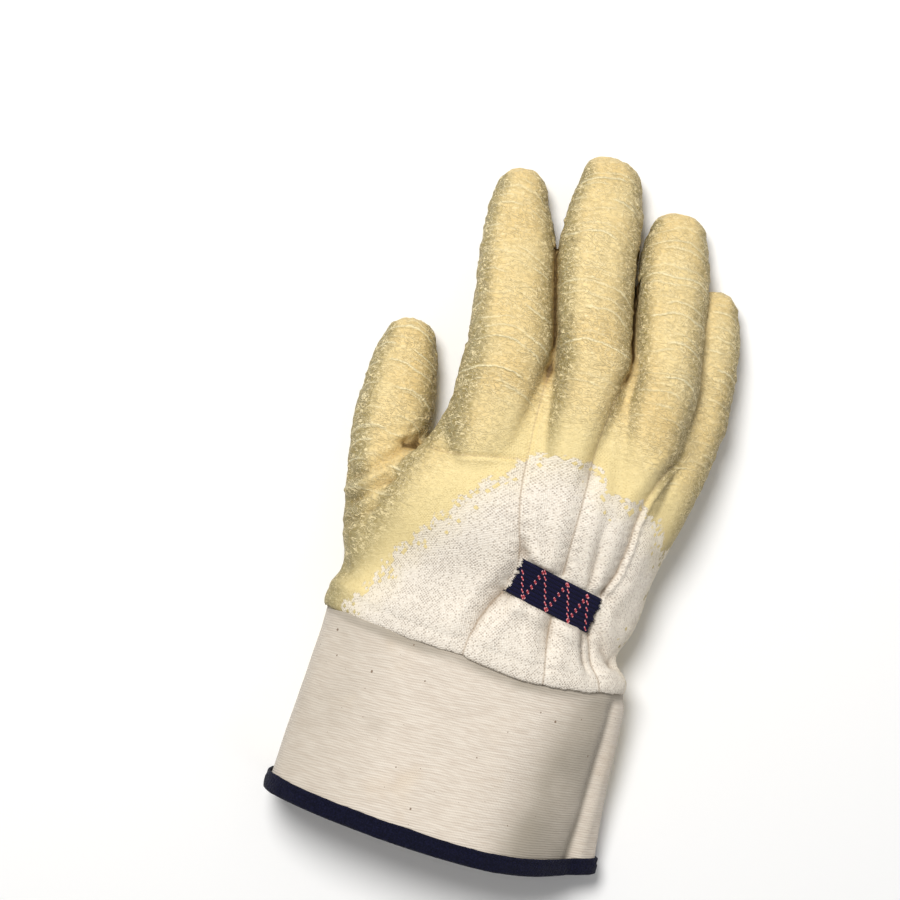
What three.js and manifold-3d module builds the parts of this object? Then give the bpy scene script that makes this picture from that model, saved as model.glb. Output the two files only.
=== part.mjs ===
// A right-hand work glove lying on its palm: a jersey hand dipped in crinkled latex, with a bare cloth back
// gathered by a sewn elastic, and a stiff canvas safety cuff with a bound hem.
// Millimetres, +Z up, fingers along +Y, thumb towards -X. The origin is the middle of the footprint.
import * as THREE from "three";
import { mergeVertices } from "three/addons/utils/BufferGeometryUtils.js";
import Module from "manifold-3d";

const wasm = await Module();
wasm.setup();

// Walls and clearances
const coatedWall = 2.2; // jersey with the latex bonded to it
const coatRise = 0.4; // how far the latex stands above the bare cloth
const cuffWall = 2.0; // two starched layers of canvas
const seamGap = 0.3; // between pieces that are sewn face to face

// The hand, from the wrist seam to the fork of the fingers
const palmLength = 124;
const palmWidth = 126;
const palmHeight = 45;
const palmLift = 21; // height of the wrist's middle above the table
const palmFullness = 2.4; // exponent of the section: 2 is an ellipse
const backSides = 34; // facets across the back of the hand
const palmSides = 13; // facets across the palm
const wristBow = 6; // how far the wrist seam runs up at the thumb's side
const wristBowLittle = 3.2; // the same at the little finger's side
const wristLowest = 0.2; // where it is lowest, as a share of half the width
const wristBlend = 0.25; // share of the palm's length over which that curve fades

// The fingers and thumb, from the fork to their tips, whose width and thickness are taken at the fork.
// Lean is how far the tip lies aside from the root, drop how far it lies below it.
const indexLength = 71;
const indexWidth = 34;
const indexThickness = 31;
const indexLean = -12.3;
const indexDrop = 26.4;
const middleLength = 83;
const middleWidth = 31;
const middleThickness = 31;
const middleLean = -13.5;
const middleDrop = 26.9;
const ringLength = 72;
const ringWidth = 28;
const ringThickness = 28;
const ringLean = -9;
const ringDrop = 25;
const littleLength = 56.6;
const littleWidth = 24.4;
const littleThickness = 23.5;
const littleLean = -3.2;
const littleDrop = 9.6;
const thumbLength = 46.5;
const thumbWidth = 31;
const thumbThickness = 29;
const thumbLean = -2.6;
const thumbDrop = 5;
const digitSides = 13;
const digitRows = 10;
const domeRows = 3;
const domeEnd = 0.93; // where the last ring of a tip lies, as a share of a quarter turn

// Shares of the palm's length, width and height, from the wrist seam to the fork
const PALM_ROWS = [
  { along: 0, left: -0.483, right: 0.472, up: 0.003, tall: 0.43, fall: 0 },
  { along: 0.03, left: -0.488, right: 0.48, up: 0.013, tall: 0.453, fall: 0 },
  { along: 0.06, left: -0.492, right: 0.482, up: 0.02, tall: 0.469, fall: 0 },
  { along: 0.1, left: -0.492, right: 0.448, up: 0.02, tall: 0.473, fall: 0 },
  { along: 0.14, left: -0.47, right: 0.422, up: 0.012, tall: 0.466, fall: 0 },
  { along: 0.19, left: -0.455, right: 0.445, up: -0.001, tall: 0.452, fall: 0.02 },
  { along: 0.24, left: -0.452, right: 0.46, up: -0.004, tall: 0.449, fall: 0.03 },
  { along: 0.29, left: -0.455, right: 0.47, up: 0.007, tall: 0.46, fall: 0.05 },
  { along: 0.34, left: -0.455, right: 0.47, up: 0.031, tall: 0.48, fall: 0.07 },
  { along: 0.39, left: -0.45, right: 0.47, up: 0.063, tall: 0.503, fall: 0.09 },
  { along: 0.45, left: -0.435, right: 0.481, up: 0.094, tall: 0.517, fall: 0.12 },
  { along: 0.52, left: -0.405, right: 0.493, up: 0.128, tall: 0.506, fall: 0.15 },
  { along: 0.6, left: -0.362, right: 0.513, up: 0.156, tall: 0.456, fall: 0.2 },
  { along: 0.68, left: -0.312, right: 0.532, up: 0.189, tall: 0.389, fall: 0.24 },
  { along: 0.77, left: -0.288, right: 0.547, up: 0.222, tall: 0.333, fall: 0.27 },
  { along: 0.86, left: -0.28, right: 0.552, up: 0.25, tall: 0.272, fall: 0.28 },
  { along: 0.94, left: -0.25, right: 0.51, up: 0.267, tall: 0.2, fall: 0.26 },
  { along: 1, left: -0.18, right: 0.42, up: 0.267, tall: 0.089, fall: 0.2 },
];

// Folds in the back: each is a valley whose path is given as shares of the palm's width at these shares of
// its length. The first three are the seams between the back's panels, and run on to the forks of the
// fingers; the others are tucks drawn in by the elastic.
const FOLD_ALONG = [0, 0.1, 0.2, 0.34, 0.45, 0.62, 0.8, 1];
const SEAM_REACH = [0.5, 0.8, 1, 1, 0.75, 0.7, 0.9, 1];
const TUCK_REACH = [0.2, 0.7, 1, 1, 0.7, 0.2, 0, 0];
const seamDepth = 3.2;
const seamSpread = 4.4;
const tuckDepth = 1.9;
const tuckSpread = 3.4;
const FOLDS = [
  { name: "index_seam", seam: true, path: [-0.041, -0.025, 0.005, 0.055, 0.035, 0, -0.01, -0.018] },
  { name: "middle_seam", seam: true, path: [0.21, 0.203, 0.187, 0.197, 0.19, 0.19, 0.194, 0.213] },
  { name: "ring_seam", seam: true, path: [0.389, 0.351, 0.31, 0.35, 0.375, 0.387, 0.42, 0.44] },
  { name: "middle_tuck", seam: false, path: [0.085, 0.1, 0.115, 0.13, 0.12, 0.11, 0.1, 0.1] },
  { name: "ring_tuck", seam: false, path: [0.3, 0.28, 0.26, 0.27, 0.278, 0.288, 0.3, 0.3] },
];

// Each digit's root, knuckle and heel are placed by shares of the palm's width, length and height; the heel
// lies inside the hand. The rows go from the root towards the tip: shares of the length, lean, drop, width
// and thickness.
const DIGITS = [
  {
    name: "index",
    length: indexLength,
    width: indexWidth,
    thickness: indexThickness,
    lean: indexLean,
    drop: indexDrop,
    heel: { across: -0.135, along: 0.42, up: 0.15, wide: 0.8, thick: 0.85 },
    knuckle: { across: -0.15, along: 0.7, up: 0.3, wide: 0.95, thick: 0.95 },
    root: { across: -0.155, along: 1, up: 0.322 },
    rows: [
      { along: 0, lean: 0, drop: 0, wide: 1, thick: 1 },
      { along: 0.18, lean: 0.17, drop: 0.12, wide: 0.96, thick: 0.97 },
      { along: 0.45, lean: 0.48, drop: 0.44, wide: 0.93, thick: 0.94 },
      { along: 0.62, lean: 0.66, drop: 0.7, wide: 0.87, thick: 0.87 },
      { along: 0.75, lean: 0.83, drop: 0.86, wide: 0.77, thick: 0.78 },
      { along: 0.84, lean: 0.93, drop: 0.94, wide: 0.63, thick: 0.66 },
    ],
  },
  {
    name: "middle",
    length: middleLength,
    width: middleWidth,
    thickness: middleThickness,
    lean: middleLean,
    drop: middleDrop,
    heel: { across: 0.12, along: 0.42, up: 0.16, wide: 0.85, thick: 0.85 },
    knuckle: { across: 0.11, along: 0.7, up: 0.32, wide: 0.93, thick: 0.95 },
    root: { across: 0.11, along: 1.01, up: 0.333 },
    rows: [
      { along: 0, lean: 0, drop: 0, wide: 1, thick: 1 },
      { along: 0.13, lean: 0.22, drop: 0.09, wide: 1.01, thick: 0.98 },
      { along: 0.37, lean: 0.57, drop: 0.3, wide: 1.02, thick: 0.96 },
      { along: 0.62, lean: 0.79, drop: 0.6, wide: 1.02, thick: 0.93 },
      { along: 0.75, lean: 0.83, drop: 0.79, wide: 0.95, thick: 0.84 },
      { along: 0.87, lean: 0.88, drop: 0.93, wide: 0.8, thick: 0.7 },
    ],
  },
  {
    name: "ring",
    length: ringLength,
    width: ringWidth,
    thickness: ringThickness,
    lean: ringLean,
    drop: ringDrop,
    heel: { across: 0.32, along: 0.42, up: 0.1, wide: 0.9, thick: 0.9 },
    knuckle: { across: 0.325, along: 0.7, up: 0.25, wide: 0.97, thick: 1 },
    root: { across: 0.333, along: 0.985, up: 0.27 },
    rows: [
      { along: 0, lean: 0, drop: 0, wide: 1, thick: 1 },
      { along: 0.2, lean: 0.16, drop: 0.14, wide: 1, thick: 0.97 },
      { along: 0.47, lean: 0.53, drop: 0.44, wide: 1.02, thick: 0.94 },
      { along: 0.63, lean: 0.68, drop: 0.68, wide: 1.03, thick: 0.9 },
      { along: 0.77, lean: 0.88, drop: 0.86, wide: 0.98, thick: 0.8 },
      { along: 0.87, lean: 0.94, drop: 0.95, wide: 0.84, thick: 0.66 },
    ],
  },
  {
    name: "little",
    length: littleLength,
    width: littleWidth,
    thickness: littleThickness,
    lean: littleLean,
    drop: littleDrop,
    heel: { across: 0.36, along: 0.4, up: 0.03, wide: 0.95, thick: 1 },
    knuckle: { across: 0.418, along: 0.62, up: 0.05, wide: 1.02, thick: 1.15 },
    root: { across: 0.468, along: 0.9, up: -0.06 },
    rows: [
      { along: 0, lean: 0, drop: 0, wide: 1, thick: 1 },
      { along: 0.22, lean: -0.02, drop: 0.2, wide: 0.96, thick: 0.97 },
      { along: 0.43, lean: 0.15, drop: 0.42, wide: 0.94, thick: 0.95 },
      { along: 0.65, lean: 0.5, drop: 0.68, wide: 0.91, thick: 0.92 },
      { along: 0.79, lean: 0.85, drop: 0.86, wide: 0.85, thick: 0.84 },
      { along: 0.88, lean: 0.95, drop: 0.94, wide: 0.7, thick: 0.7 },
    ],
  },
  {
    name: "thumb",
    length: thumbLength,
    width: thumbWidth,
    thickness: thumbThickness,
    lean: thumbLean,
    drop: thumbDrop,
    heel: { across: -0.335, along: 0.2, up: 0, wide: 0.8, thick: 0.85 },
    knuckle: { across: -0.402, along: 0.43, up: -0.06, wide: 0.98, thick: 1.05 },
    root: { across: -0.44, along: 0.637, up: -0.12 },
    rows: [
      { along: 0, lean: 0, drop: 0, wide: 1, thick: 1 },
      { along: 0.27, lean: 0.3, drop: 0.3, wide: 0.98, thick: 0.95 },
      { along: 0.5, lean: 0.58, drop: 0.56, wide: 0.91, thick: 0.87 },
      { along: 0.68, lean: 0.78, drop: 0.76, wide: 0.81, thick: 0.77 },
      { along: 0.82, lean: 0.9, drop: 0.9, wide: 0.66, thick: 0.65 },
    ],
  },
];

// The bare cloth of the back, seen from above: the edge of the latex, as shares of the palm's width and
// length, from the wrist on the thumb's side to the little finger's side.
const BARE_EDGE = [
  { across: -0.44, along: -0.05 },
  { across: -0.405, along: 0.08 },
  { across: -0.352, along: 0.17 },
  { across: -0.305, along: 0.28 },
  { across: -0.245, along: 0.37 },
  { across: -0.18, along: 0.47 },
  { across: -0.125, along: 0.55 },
  { across: -0.05, along: 0.61 },
  { across: 0.01, along: 0.68 },
  { across: 0.1, along: 0.695 },
  { across: 0.2, along: 0.7 },
  { across: 0.25, along: 0.64 },
  { across: 0.36, along: 0.625 },
  { across: 0.42, along: 0.58 },
  { across: 0.49, along: 0.48 },
  { across: 0.62, along: 0.42 },
  { across: 0.62, along: -0.05 },
];
const bareDown = 0.42; // height of the side line above the table, as a share of the palm's height
const SEAM_FOLDS = ["index_seam", "middle_seam", "ring_seam"];
const PANELS = ["back_panel_index", "back_panel_middle", "back_panel_ring", "back_panel_little"];

// The elastic that gathers the back, sewn across the three seams
const elasticLength = 35.4;
const elasticWidth = 14.5;
const elasticThickness = 1.2;
const elasticTurn = -11.5; // degrees from square across the hand
const elasticPlace = { across: 0.185, along: 0.288 };

// The safety cuff, from the wrist seam to its hem
const cuffLength = 65.4; // at its sides
const hemSag = 6; // how much longer it is where it hangs lowest
const hemLowest = 0.3; // where that is, as a share of half the width
const cuffTopWidth = 121;
const cuffTopHeight = 39;
const cuffFlare = 12; // how much wider it is at the hem
const cuffRise = 5; // how much taller it is at the hem
const cuffHemWidth = cuffTopWidth + cuffFlare;
const cuffHemHeight = cuffTopHeight + cuffRise;
const wristPuff = 5; // how much wider the hand is where it is gathered into the cuff
const cuffShift = 2; // the flare leans this far towards the little finger
const cuffRows = 5;
const cuffPoints = 54;

// The cuff's section at the wrist and at the hem: shares of half its width from the middle, and of its
// height from the bottom. At the hem the little finger's side is pressed into a flat fold.
const CUFF_SECTION = [
  { topAcross: -1, topUp: 0.5, hemAcross: -1, hemUp: 0.45 },
  { topAcross: -0.93, topUp: 0.78, hemAcross: -0.955, hemUp: 0.78 },
  { topAcross: -0.72, topUp: 0.94, hemAcross: -0.76, hemUp: 0.93 },
  { topAcross: -0.38, topUp: 1, hemAcross: -0.42, hemUp: 0.985 },
  { topAcross: 0, topUp: 1, hemAcross: -0.02, hemUp: 1 },
  { topAcross: 0.36, topUp: 0.98, hemAcross: 0.32, hemUp: 0.94 },
  { topAcross: 0.68, topUp: 0.9, hemAcross: 0.6, hemUp: 0.75 },
  { topAcross: 0.88, topUp: 0.76, hemAcross: 0.79, hemUp: 0.46 },
  { topAcross: 0.955, topUp: 0.64, hemAcross: 0.845, hemUp: 0.36 },
  { topAcross: 0.985, topUp: 0.55, hemAcross: 0.94, hemUp: 0.3 },
  { topAcross: 1, topUp: 0.42, hemAcross: 1, hemUp: 0.2 },
  { topAcross: 0.96, topUp: 0.24, hemAcross: 0.955, hemUp: 0.08 },
  { topAcross: 0.76, topUp: 0.06, hemAcross: 0.74, hemUp: 0.02 },
  { topAcross: 0.38, topUp: 0, hemAcross: 0.36, hemUp: 0 },
  { topAcross: 0, topUp: 0, hemAcross: 0, hemUp: 0 },
  { topAcross: -0.4, topUp: 0, hemAcross: -0.42, hemUp: 0 },
  { topAcross: -0.78, topUp: 0.06, hemAcross: -0.8, hemUp: 0.04 },
  { topAcross: -0.95, topUp: 0.24, hemAcross: -0.96, hemUp: 0.2 },
];

// The binding, a folded tape that straddles the hem
const bindingDepth = 6.3;
const bindingTape = 1.1;

const lerp = THREE.MathUtils.lerp;

// The value at t of a list of numbers that stand at the stations at, smoothly joined
function along(at, values, t) {
  const last = at.length - 1;
  if (t <= at[0]) return values[0];
  if (t >= at[last]) return values[last];
  const i = at.findIndex((a, k) => t >= a && t <= at[k + 1]);
  return lerp(values[i], values[i + 1], THREE.MathUtils.smoothstep(t, at[i], at[i + 1]));
}

// 0 at a place across the piece and 1 at either side of it: a parabola with its low point off the middle
function bowShare(across, lowest) {
  const away = across - lowest;
  return (away / (away < 0 ? 1 + lowest : 1 - lowest)) ** 2;
}

// How far the wrist seam runs up from its lowest point, at a place across the hand
function wristRise(x) {
  const across = THREE.MathUtils.clamp(x / (cuffTopWidth / 2), -1, 1);
  return bowShare(across, wristLowest) * (across < wristLowest ? wristBow : wristBowLittle);
}

// A closed geometry through rings of equal count. Open ends are capped; a looped one joins its last ring
// to its first.
function loft(rings, looped = false) {
  const count = rings[0].length;
  const points = rings.flat();
  const faces = [];
  const bands = looped ? rings.length : rings.length - 1;
  for (let r = 0; r < bands; r++) {
    for (let i = 0; i < count; i++) {
      const a = r * count + i;
      const b = r * count + ((i + 1) % count);
      const c = ((r + 1) % rings.length) * count + i;
      const d = ((r + 1) % rings.length) * count + ((i + 1) % count);
      faces.push(a, c, b, b, c, d);
    }
  }
  if (!looped) {
    for (const r of [0, rings.length - 1]) {
      const middle = points.length;
      points.push(rings[r].reduce((sum, p) => sum.add(p), new THREE.Vector3()).divideScalar(count));
      for (let i = 0; i < count; i++) {
        const edge = [r * count + i, r * count + ((i + 1) % count)];
        faces.push(middle, ...(r === 0 ? edge : edge.reverse()));
      }
    }
  }
  return new THREE.BufferGeometry().setFromPoints(points).setIndex(faces);
}

// Between a three.js geometry and a solid that can be cut and joined
function solidOf(geometry) {
  const bare = geometry.clone();
  bare.deleteAttribute("normal");
  bare.deleteAttribute("uv");
  const merged = mergeVertices(bare, 1e-4);
  const made = new wasm.Manifold(
    new wasm.Mesh({
      numProp: 3,
      vertProperties: new Float32Array(merged.attributes.position.array),
      triVerts: new Uint32Array(merged.index.array),
    }),
  );
  if (made.volume() >= 0) return made;
  const turned = merged.index.array.slice().reverse();
  merged.setIndex(Array.from(turned));
  return solidOf(merged);
}

function geometryOf(solid) {
  const mesh = solid.getMesh();
  const points = new Float32Array(mesh.numVert * 3);
  for (let i = 0; i < mesh.numVert; i++) {
    points.set(mesh.vertProperties.subarray(i * mesh.numProp, i * mesh.numProp + 3), i * 3);
  }
  const geometry = new THREE.BufferGeometry();
  geometry.setAttribute("position", new THREE.BufferAttribute(points, 3));
  geometry.setIndex(new THREE.BufferAttribute(mesh.triVerts, 1));
  return geometry;
}

// A flat outline in the plane of the table, drawn up between two heights
function prism(outline, low, high) {
  const shape = new THREE.Shape(outline);
  const geometry = new THREE.ExtrudeGeometry(shape, { depth: high - low, bevelEnabled: false });
  return solidOf(geometry.translate(0, 0, low));
}

// How deep the folds of the back lie below it at a point of the hand
function foldDepth(x, y) {
  const t = y / palmLength;
  return FOLDS.reduce((depth, fold) => {
    const away = (x - along(FOLD_ALONG, fold.path, t) * palmWidth) / (fold.seam ? seamSpread : tuckSpread);
    const reach = along(FOLD_ALONG, fold.seam ? SEAM_REACH : TUCK_REACH, t);
    return depth + (fold.seam ? seamDepth : tuckDepth) * reach * Math.exp(-away * away);
  }, 0);
}

// The body of the hand, grown by a distance. Its wrist end reaches past the seam where it is to be a cutter.
function palm(grow, wristReach) {
  const rings = PALM_ROWS.map((row, r) => {
    const blend = Math.min(1, row.along / wristBlend);
    const girth = lerp(cuffTopWidth + wristPuff, palmWidth, blend);
    const centre = ((row.left + row.right) / 2) * girth;
    const half = ((row.right - row.left) / 2) * girth + grow;
    const tall = row.tall * palmHeight + grow;
    const forward = r === 0 ? -wristReach : row.along === 1 ? palmLength + grow : row.along * palmLength;
    const ring = [];
    for (let i = 0; i < backSides + palmSides; i++) {
      const turn =
        i < backSides ? (i / backSides) * Math.PI : Math.PI + ((i - backSides) / palmSides) * Math.PI;
      const power = 2 / palmFullness;
      const across = Math.sign(Math.cos(turn)) * Math.abs(Math.cos(turn)) ** power;
      const rise = Math.sign(Math.sin(turn)) * Math.abs(Math.sin(turn)) ** power;
      const x = centre + half * across;
      const y = forward + wristRise(x) * (1 - blend);
      const fall = row.fall * palmHeight * Math.max(across, 0) ** 2;
      const fold = rise > 0 ? foldDepth(x, forward) * Math.min(1, rise * 1.3) : 0;
      ring.push(new THREE.Vector3(x, y, palmLift + row.up * palmHeight + tall * rise - fall - fold));
    }
    return ring;
  });
  return solidOf(loft(rings));
}

// One finger or the thumb, from its heel inside the hand to its tip, grown by a distance
function digit(d, grow) {
  const placed = (p) =>
    new THREE.Vector3(p.across * palmWidth, p.along * palmLength, palmLift + p.up * palmHeight);
  const root = placed(d.root);
  const last = d.rows[d.rows.length - 1];
  const rowAt = (row) =>
    root.clone().add(new THREE.Vector3(row.lean * d.lean, row.along * d.length, -row.drop * d.drop));
  const path = new THREE.CatmullRomCurve3([placed(d.heel), placed(d.knuckle), ...d.rows.map(rowAt)]);
  const girth = new THREE.CatmullRomCurve3(
    [d.heel, d.knuckle, ...d.rows].map((p) => new THREE.Vector3(p.wide, p.thick, 0)),
  );
  const stations = Array.from({ length: digitRows + 1 }, (_, k) => {
    const { x: wide, y: thick } = girth.getPoint(k / digitRows);
    return { at: path.getPoint(k / digitRows), wide, thick, share: 1 };
  });
  for (let k = 1; k <= domeRows; k++) {
    const turn = ((k / domeRows) * domeEnd * Math.PI) / 2;
    const at = rowAt(last).lerp(rowAt({ lean: 1, along: 1, drop: 1 }), Math.sin(turn));
    at.y += Math.sin(turn) * grow;
    stations.push({
      at,
      wide: last.wide * Math.cos(turn),
      thick: last.thick * Math.cos(turn),
      share: Math.cos(turn),
    });
  }
  const rings = stations.map(({ at, wide, thick, share }) =>
    Array.from({ length: digitSides }, (_, i) => {
      const turn = (i / digitSides) * 2 * Math.PI;
      const across = ((wide * d.width) / 2 + grow * share) * Math.cos(turn);
      const rise = ((thick * d.thickness) / 2 + grow * share) * Math.sin(turn);
      return new THREE.Vector3(at.x + across, at.y, at.z + rise);
    }),
  );
  return solidOf(loft(rings));
}

// The whole hand as one solid, grown by a distance
function hand(grow, wristReach = 0) {
  return DIGITS.reduce((whole, d) => whole.add(digit(d, grow)), palm(grow, wristReach));
}

const cutHeight = 2 * palmHeight;
const bareLow = bareDown * palmHeight;

// The outline of the bare cloth, moved in from the latex by a gap
function bareOutline(inset) {
  const middle = new THREE.Vector2(0.1 * palmWidth, 0.2 * palmLength);
  return BARE_EDGE.map((p) => {
    const point = new THREE.Vector2(p.across * palmWidth, p.along * palmLength);
    return point.add(middle.clone().sub(point).setLength(inset));
  });
}

// The strip of the table between two seams of the back
function panelStrip(k) {
  const line = (name, side) => {
    const fold = FOLDS.find((f) => f.name === name);
    const at = [-0.05, ...FOLD_ALONG.slice(1)];
    return at.map((t, i) => {
      return new THREE.Vector2(fold.path[i] * palmWidth + (side * seamGap) / 2, t * palmLength);
    });
  };
  const wide = palmWidth;
  const left =
    k === 0
      ? [new THREE.Vector2(-wide, -0.05 * palmLength), new THREE.Vector2(-wide, palmLength)]
      : line(SEAM_FOLDS[k - 1], 1);
  const right =
    k === SEAM_FOLDS.length
      ? [new THREE.Vector2(wide, -0.05 * palmLength), new THREE.Vector2(wide, palmLength)]
      : line(SEAM_FOLDS[k], -1);
  return prism([...left, ...right.reverse()], bareLow, cutHeight);
}

const hollow = hand(-coatedWall, 5);

// Palm, fingers and thumb: jersey with the latex bonded to it, open over the back
function latexHand() {
  return hand(0).subtract(hollow).subtract(prism(bareOutline(0), bareLow, cutHeight));
}

// The bare cloth of the back, a little lower than the latex around it, in its four sewn panels
function backPanels() {
  const cloth = hand(-coatRise)
    .subtract(hollow)
    .intersect(prism(bareOutline(seamGap), bareLow + seamGap, cutHeight));
  return PANELS.map((name, k) => [name, cloth.intersect(panelStrip(k))]);
}

// The elastic lies on the gathered cloth and follows it
function elasticBand() {
  const turn = THREE.MathUtils.degToRad(elasticTurn);
  const middle = new THREE.Vector2(elasticPlace.across * palmWidth, elasticPlace.along * palmLength);
  const outline = [
    [-1, -1],
    [1, -1],
    [1, 1],
    [-1, 1],
  ].map(([i, j]) =>
    new THREE.Vector2((i * elasticLength) / 2, (j * elasticWidth) / 2)
      .rotateAround(new THREE.Vector2(), turn)
      .add(middle),
  );
  const under = seamGap - coatRise;
  return prism(outline, bareLow, cutHeight)
    .intersect(hand(under + elasticThickness))
    .subtract(hand(under));
}

// The cuff's middle surface at a share of its length, and the same moved out by a distance
function cuffRing(share, out) {
  const half = lerp(cuffTopWidth, cuffHemWidth, share) / 2;
  const tall = lerp(cuffTopHeight, cuffHemHeight, share);
  const low = bindingTape + seamGap + cuffWall / 2;
  const knots = CUFF_SECTION.map(
    (p) =>
      new THREE.Vector3(
        lerp(0, cuffShift, share) + lerp(p.topAcross, p.hemAcross, share) * (half - cuffWall / 2),
        0,
        low + lerp(p.topUp, p.hemUp, share) * (tall - cuffWall),
      ),
  );
  const curve = new THREE.CatmullRomCurve3(knots, true, "centripetal");
  const ring = curve.getSpacedPoints(cuffPoints).slice(0, cuffPoints);
  for (const p of ring) p.z = Math.max(p.z, low);
  return ring.map((p, i) => {
    const before = ring[(i + cuffPoints - 1) % cuffPoints];
    const after = ring[(i + 1) % cuffPoints];
    const side = after.clone().sub(before).normalize();
    const outward = new THREE.Vector3(-side.z, 0, side.x);
    const across = THREE.MathUtils.clamp((p.x - lerp(0, cuffShift, share)) / half, -1, 1);
    const length = cuffLength + hemSag * (1 - bowShare(across, hemLowest));
    const rise = wristRise(p.x) * Math.max(0, 1 - share);
    return { at: p.addScaledVector(outward, out), outward, back: seamGap + share * length - rise };
  });
}

// A canvas tube that flares from the wrist seam to the hem
function safetyCuff() {
  const skin = (out) =>
    Array.from({ length: cuffRows + 1 }, (_, r) =>
      cuffRing(r / cuffRows, out).map((p) => new THREE.Vector3(p.at.x, -p.back, p.at.z)),
    );
  const outer = skin(cuffWall / 2);
  const inner = skin(-cuffWall / 2);
  return solidOf(loft([...outer, ...inner.reverse()], true));
}

// A tape folded over the hem, with rounded edges
function cuffBinding() {
  const inside = cuffWall / 2 + seamGap;
  const outside = inside + bindingTape;
  const bottom = seamGap + bindingTape;
  const round = bindingTape * 0.8;
  const profile = [
    [outside, bindingDepth - bottom],
    [outside, round - bottom],
    [outside - round * 0.6, -bottom],
    [-outside + round * 0.6, -bottom],
    [-outside, round - bottom],
    [-outside, bindingDepth - bottom],
    [-inside, bindingDepth - bottom],
    [-inside, -seamGap],
    [inside, -seamGap],
    [inside, bindingDepth - bottom],
  ];
  const skins = profile.map(([out, up]) => cuffRing(1 - up / cuffLength, out));
  const rings = Array.from({ length: cuffPoints }, (_, i) =>
    skins.map((skin) => new THREE.Vector3(skin[i].at.x, -skin[i].back, skin[i].at.z)),
  );
  return solidOf(loft(rings, true));
}

const latex = new THREE.MeshStandardMaterial({ color: 0xe6cf92, roughness: 0.75, metalness: 0 });
const cloth = new THREE.MeshStandardMaterial({ color: 0xe2dacd, roughness: 0.95, metalness: 0 });
const canvas = new THREE.MeshStandardMaterial({ color: 0xd8cab6, roughness: 0.9, metalness: 0 });
const navy = new THREE.MeshStandardMaterial({ color: 0x12153a, roughness: 0.9, metalness: 0 });

const glove = new THREE.Group();
function place(name, solid, material) {
  const mesh = new THREE.Mesh(geometryOf(solid), material);
  mesh.name = name;
  glove.add(mesh);
}

place("latex_hand", latexHand(), latex);
for (const [name, panel] of backPanels()) place(name, panel, cloth);
place("elastic_band", elasticBand(), navy);
place("safety_cuff", safetyCuff(), canvas);
place("cuff_binding", cuffBinding(), navy);

// The origin is under the middle of the glove, on the table
const box = new THREE.Box3().setFromObject(glove);
const middle = box.getCenter(new THREE.Vector3());
glove.position.set(-middle.x, -middle.y, -box.min.z);

export default glove;
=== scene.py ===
import math

import bpy
import numpy as np
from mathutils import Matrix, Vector
from mathutils.bvhtree import BVHTree


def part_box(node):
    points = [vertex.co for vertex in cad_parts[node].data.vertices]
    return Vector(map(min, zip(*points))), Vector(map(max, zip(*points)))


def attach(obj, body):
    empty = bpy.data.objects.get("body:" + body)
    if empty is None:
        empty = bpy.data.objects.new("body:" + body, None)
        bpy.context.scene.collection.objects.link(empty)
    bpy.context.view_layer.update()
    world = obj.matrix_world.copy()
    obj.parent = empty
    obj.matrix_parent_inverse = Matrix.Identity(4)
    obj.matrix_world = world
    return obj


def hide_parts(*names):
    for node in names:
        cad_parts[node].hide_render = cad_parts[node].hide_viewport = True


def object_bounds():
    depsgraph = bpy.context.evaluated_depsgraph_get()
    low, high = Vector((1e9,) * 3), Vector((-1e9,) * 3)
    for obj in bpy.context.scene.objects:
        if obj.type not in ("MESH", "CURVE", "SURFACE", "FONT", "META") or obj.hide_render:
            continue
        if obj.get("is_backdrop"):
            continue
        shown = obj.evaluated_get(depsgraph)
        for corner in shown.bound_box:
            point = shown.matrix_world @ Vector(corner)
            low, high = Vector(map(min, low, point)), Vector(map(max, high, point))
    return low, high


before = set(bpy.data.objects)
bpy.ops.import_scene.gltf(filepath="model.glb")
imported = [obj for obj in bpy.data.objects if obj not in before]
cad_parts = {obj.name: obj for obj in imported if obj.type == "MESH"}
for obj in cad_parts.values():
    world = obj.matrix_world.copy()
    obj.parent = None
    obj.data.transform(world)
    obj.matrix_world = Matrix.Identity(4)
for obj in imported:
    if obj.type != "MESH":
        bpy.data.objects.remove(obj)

cad_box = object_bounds()
scene = bpy.context.scene

# The studio: a pale floor that runs out of view, a large soft light from the upper left, a weaker one from
# the right, and an even pale surround. The camera looks straight down on the glove, which leans in its view.
view_height = 1.1
camera_data = bpy.data.cameras.new("camera")
camera_data.sensor_width = 36
camera_data.lens = 36 * view_height / 0.36
camera_data.clip_end = 20
camera = bpy.data.objects.new("camera", camera_data)
camera.location = (-0.03115, 0.01163, view_height)
camera.rotation_euler = (0, 0, math.radians(15.8))
scene.collection.objects.link(camera)
scene.camera = camera
scene.view_settings.view_transform = "Standard"


def area_light(name, at, aim, size, watts, colour):
    data = bpy.data.lights.new(name, "AREA")
    data.shape = "DISK"
    data.size = size
    data.energy = watts
    data.color = colour
    light = bpy.data.objects.new(name, data)
    light.location = at
    light.rotation_euler = (Vector(aim) - Vector(at)).to_track_quat("-Z", "Y").to_euler()
    scene.collection.objects.link(light)


area_light("key_light", (-0.42, 0.5, 1.3), (0, 0, 0.02), 0.6, 19.5, (1, 0.99, 0.97))
area_light("fill_light", (0.9, -0.3, 1.0), (0, 0, 0.02), 0.9, 1.4, (0.97, 0.98, 1))
world = bpy.data.worlds.new("surround")
scene.world = world
world.use_nodes = True
surround = world.node_tree.nodes["Background"].inputs
surround["Color"].default_value = (1, 1, 1, 1)
surround["Strength"].default_value = 0.29

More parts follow.
